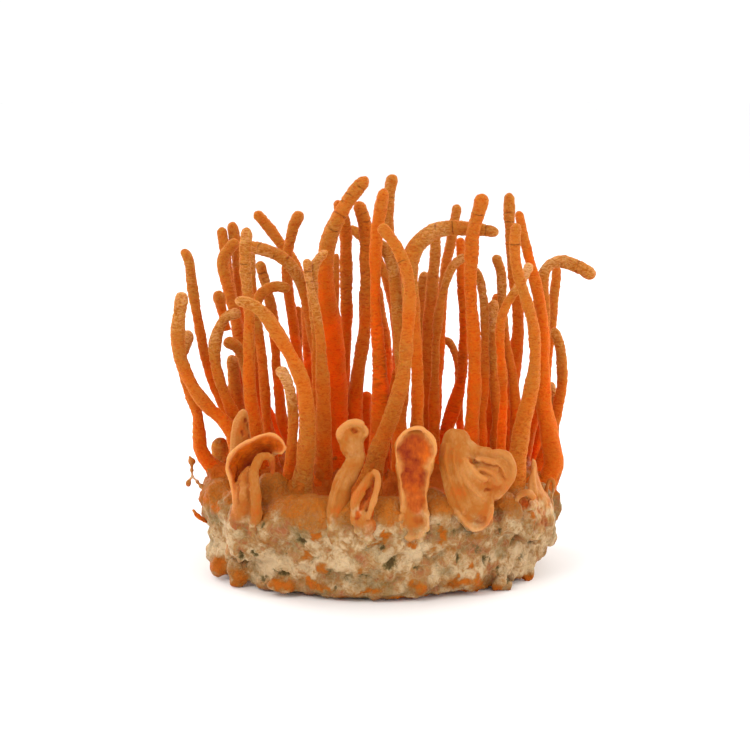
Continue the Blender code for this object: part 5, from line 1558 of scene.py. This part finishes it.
def stalk_form(seen, breadths, depths, moist=0.0, pale=0.0):
    """A rounded stalk through seen points: its points, faces and marks."""
    path = np.array(seen_line(seen))
    lengths = lengths_along(path)
    cap = min(breadths[-1] * 0.45, lengths[-1] * 0.4)
    end = lengths[-1] - cap
    tip = end + cap * np.sin(np.linspace(0.0, math.pi / 2, 9))[1:-1]
    places = np.concatenate((np.linspace(0.0, end, max(8, round(end / STALK_SPACING))), tip))
    shares = places / lengths[-1]
    half = np.sqrt(1 - np.clip((places - end) / cap, 0.0, 1.0) ** 2) / 2
    centres, across, inwards = centre_line(path, places, lengths)
    across = across * (values_at(shares, breadths) * half)[:, None]
    inwards = inwards * (values_at(shares, depths) * half)[:, None]
    points = (centres[:, None] + ways_round(across, inwards, STALK_SIDES)).reshape(-1, 3)
    points = np.concatenate((points, path[-1:]))
    # How dark red the stalk is (moist flesh and painted shade), and how pale (painted glow of light through
    # thin ridges)
    marks = {"inner": np.full(len(points), moist), "rim": np.full(len(points), pale)}
    return points, loft_faces(len(places), STALK_SIDES), marks


def ball_form(middle, half, moist=0.0):
    """A ball of flesh at a seen place: its points, faces and marks."""
    points, faces = ball(seen_at(*middle)[0], half, BALL_STEPS)
    # How dark red the ball is: moist flesh and painted shade
    return points, faces, {"inner": np.full(len(points), moist), "rim": np.zeros(len(points))}


def carried(source, values, target):
    """Values at the target points, as the mean of those at the nearest source points."""
    tree = KDTree(len(source))
    for number, point in enumerate(source.tolist()):
        tree.insert(point, number)
    tree.balance()
    near = np.array([[found[1] for found in tree.find_n(point, 3)] for point in target.tolist()])
    return {mark: value[near].mean(axis=1) for mark, value in values.items()}


def build_lobe(name, settings, material):
    """Grows a lobe's skin over its forms, dents and grooves it, and marks its faces."""
    plan = LOBES[name]
    forms = [sheet_form(*one) for one in plan.get("sheets", ())]
    forms += [stalk_form(*one) for one in plan.get("stalks", ())]
    forms += [ball_form(*one) for one in plan.get("balls", ())]
    source, faces, values = joined(forms)
    skin, corners, normals = grown_skin(source, faces, settings.skin_step, LOBE_SMOOTHING)
    marks = carried(source, values, skin)
    seen = seen_from_front(skin) + wobble_at(skin, 1.1) * 0.25
    facing = smoothstep(0.1, -0.3, normals[:, 1])
    relief = noise_at(skin * (1, 1, 0.4), 1.2) * settings.groove_depth / MM
    relief += noise_at(skin, 2.4) * 0.12 + noise_at(skin, 0.8) * 0.03
    # A dent gets a dark red bottom, moist flesh and painted shade, and loses the painted glow of the rim
    for dent in plan["dents"]:
        depth, moist = dent[5:]
        inside = inside_ellipse(seen, dent, DENT_EDGE) * facing
        relief -= inside * depth
        marks["inner"] = np.maximum(marks["inner"], inside * moist)
        marks["rim"] = marks["rim"] * (1 - inside)
    marks["film"] = 1 - smoothstep(*FILM_HEIGHTS, skin[:, 2] + noise_at(skin, 3.0) * 2.0)
    relief += marks["film"] * (noise_at(skin, 1.7) * 0.3 + noise_at(skin, 0.9) * 0.15)
    skin = skin + normals * relief[:, None]
    return add_piece(name + "_flesh", skin, corners, marks, material, name, "lobe_orange")


# Floor, lights and camera


def add_light(name, place, size, power, colour):
    """A soft round light that points at the middle of the bunch."""
    light = bpy.data.lights.new(name, "AREA")
    light.shape = "DISK"
    light.size = size
    light.energy = power
    light.color = linear(colour)[:3]
    lamp = bpy.data.objects.new(name, light)
    lamp.location = place
    lamp.rotation_euler = (AIM * MM - Vector(place)).to_track_quat("-Z", "Y").to_euler()
    bpy.context.scene.collection.objects.link(lamp)


def build_floor(settings):
    """A round board under the bunch."""
    mesh = bpy.data.meshes.new("floor")
    edge = [Vector((math.cos(angle), math.sin(angle), 0.0)) for angle in angles_round(FLOOR_SIDES)]
    mesh.from_pydata([way * settings.floor_radius for way in edge], [], [tuple(range(FLOOR_SIDES))])
    mesh.materials.append(floor_material(settings))
    floor = bpy.data.objects.new("floor", mesh)
    bpy.context.scene.collection.objects.link(floor)


def build_world(settings):
    """White surroundings, as in a light tent."""
    world = bpy.data.worlds.new("light tent")
    world.use_nodes = True
    background = world.node_tree.nodes["Background"]
    background.inputs["Color"].default_value = (1.0, 1.0, 1.0, 1.0)
    background.inputs["Strength"].default_value = settings.sky_strength
    bpy.context.scene.world = world


def build_camera():
    """The camera stands where the photo was taken from and looks at the middle of its frame."""
    camera = bpy.data.cameras.new("camera")
    camera.sensor_width = SENSOR_WIDTH
    camera.lens = LENS
    camera.clip_start = 0.01
    camera.clip_end = 20.0
    stand = bpy.data.objects.new("camera", camera)
    stand.location = EYE * MM
    stand.rotation_euler = FORWARD.to_track_quat("-Z", "Y").to_euler()
    bpy.context.scene.collection.objects.link(stand)
    bpy.context.scene.camera = stand


# Operators


class CORDYCEPS_OT_cake(bpy.types.Operator):
    """Grow the film over the grain cake and up the feet of the clubs"""

    bl_idname = "cordyceps.cake"
    bl_label = "Grain Cake"

    def execute(self, context):
        settings = context.scene.cordyceps_cake
        build_cake(ground_tree(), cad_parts["grain_cake"], settings, cake_material(settings))
        return {"FINISHED"}


class CORDYCEPS_OT_clubs(bpy.types.Operator):
    """Grow the skin of every club, and the small buds and threads between them"""

    bl_idname = "cordyceps.clubs"
    bl_label = "Clubs"

    def execute(self, context):
        settings = context.scene.cordyceps_clubs
        material = club_material(settings)
        ground = ground_tree()
        for name in CLUBS:
            build_club(name, ground, settings, material)
        build_buds(settings, material)
        return {"FINISHED"}


class CORDYCEPS_OT_lobes(bpy.types.Operator):
    """Grow the curled, folded and torn lobes on the rim of the cake"""

    bl_idname = "cordyceps.lobes"
    bl_label = "Lobes"

    def execute(self, context):
        scene = context.scene
        settings = scene.cordyceps_lobes
        material = lobe_material(settings, scene.cordyceps_clubs, scene.cordyceps_cake)
        for name in LOBES:
            build_lobe(name, settings, material)
        return {"FINISHED"}


class CORDYCEPS_OT_stage(bpy.types.Operator):
    """Set up the floor, the soft lights and the camera"""

    bl_idname = "cordyceps.stage"
    bl_label = "Stage"

    def execute(self, context):
        settings = context.scene.cordyceps_stage
        build_floor(settings)
        build_world(settings)
        for name, (place, size, power, colour) in LIGHTS.items():
            add_light(name, place, size, getattr(settings, power), colour)
        build_camera()
        context.scene.view_settings.view_transform = "Standard"
        return {"FINISHED"}


class CORDYCEPS_PT_panel(bpy.types.Panel):
    """Lists the pieces of the bunch"""

    bl_idname = "CORDYCEPS_PT_panel"
    bl_label = "Cordyceps Bunch"
    bl_space_type = "VIEW_3D"
    bl_region_type = "UI"
    bl_category = "Cordyceps"

    def draw(self, context):
        for operator, group in STEPS:
            self.layout.operator(operator)
            settings = getattr(context.scene, group)
            for name in settings.bl_rna.properties.keys():
                if name not in ("rna_type", "name"):
                    self.layout.prop(settings, name)


STEPS = (
    ("cordyceps.cake", "cordyceps_cake"),
    ("cordyceps.clubs", "cordyceps_clubs"),
    ("cordyceps.lobes", "cordyceps_lobes"),
    ("cordyceps.stage", "cordyceps_stage"),
)
GROUPS = {
    "cordyceps_cake": CakeSettings,
    "cordyceps_clubs": ClubSettings,
    "cordyceps_lobes": LobeSettings,
    "cordyceps_stage": StageSettings,
}
CLASSES = (
    *GROUPS.values(),
    CORDYCEPS_OT_cake,
    CORDYCEPS_OT_clubs,
    CORDYCEPS_OT_lobes,
    CORDYCEPS_OT_stage,
    CORDYCEPS_PT_panel,
)


def register():
    for one in CLASSES:
        bpy.utils.register_class(one)
    for name, group in GROUPS.items():
        setattr(bpy.types.Scene, name, bpy.props.PointerProperty(type=group))


def unregister():
    for name in GROUPS:
        delattr(bpy.types.Scene, name)
    for one in reversed(CLASSES):
        bpy.utils.unregister_class(one)


def main():
    register()
    bpy.ops.cordyceps.cake()
    bpy.ops.cordyceps.clubs()
    bpy.ops.cordyceps.lobes()
    bpy.ops.cordyceps.stage()


if __name__ == "__main__":
    main()
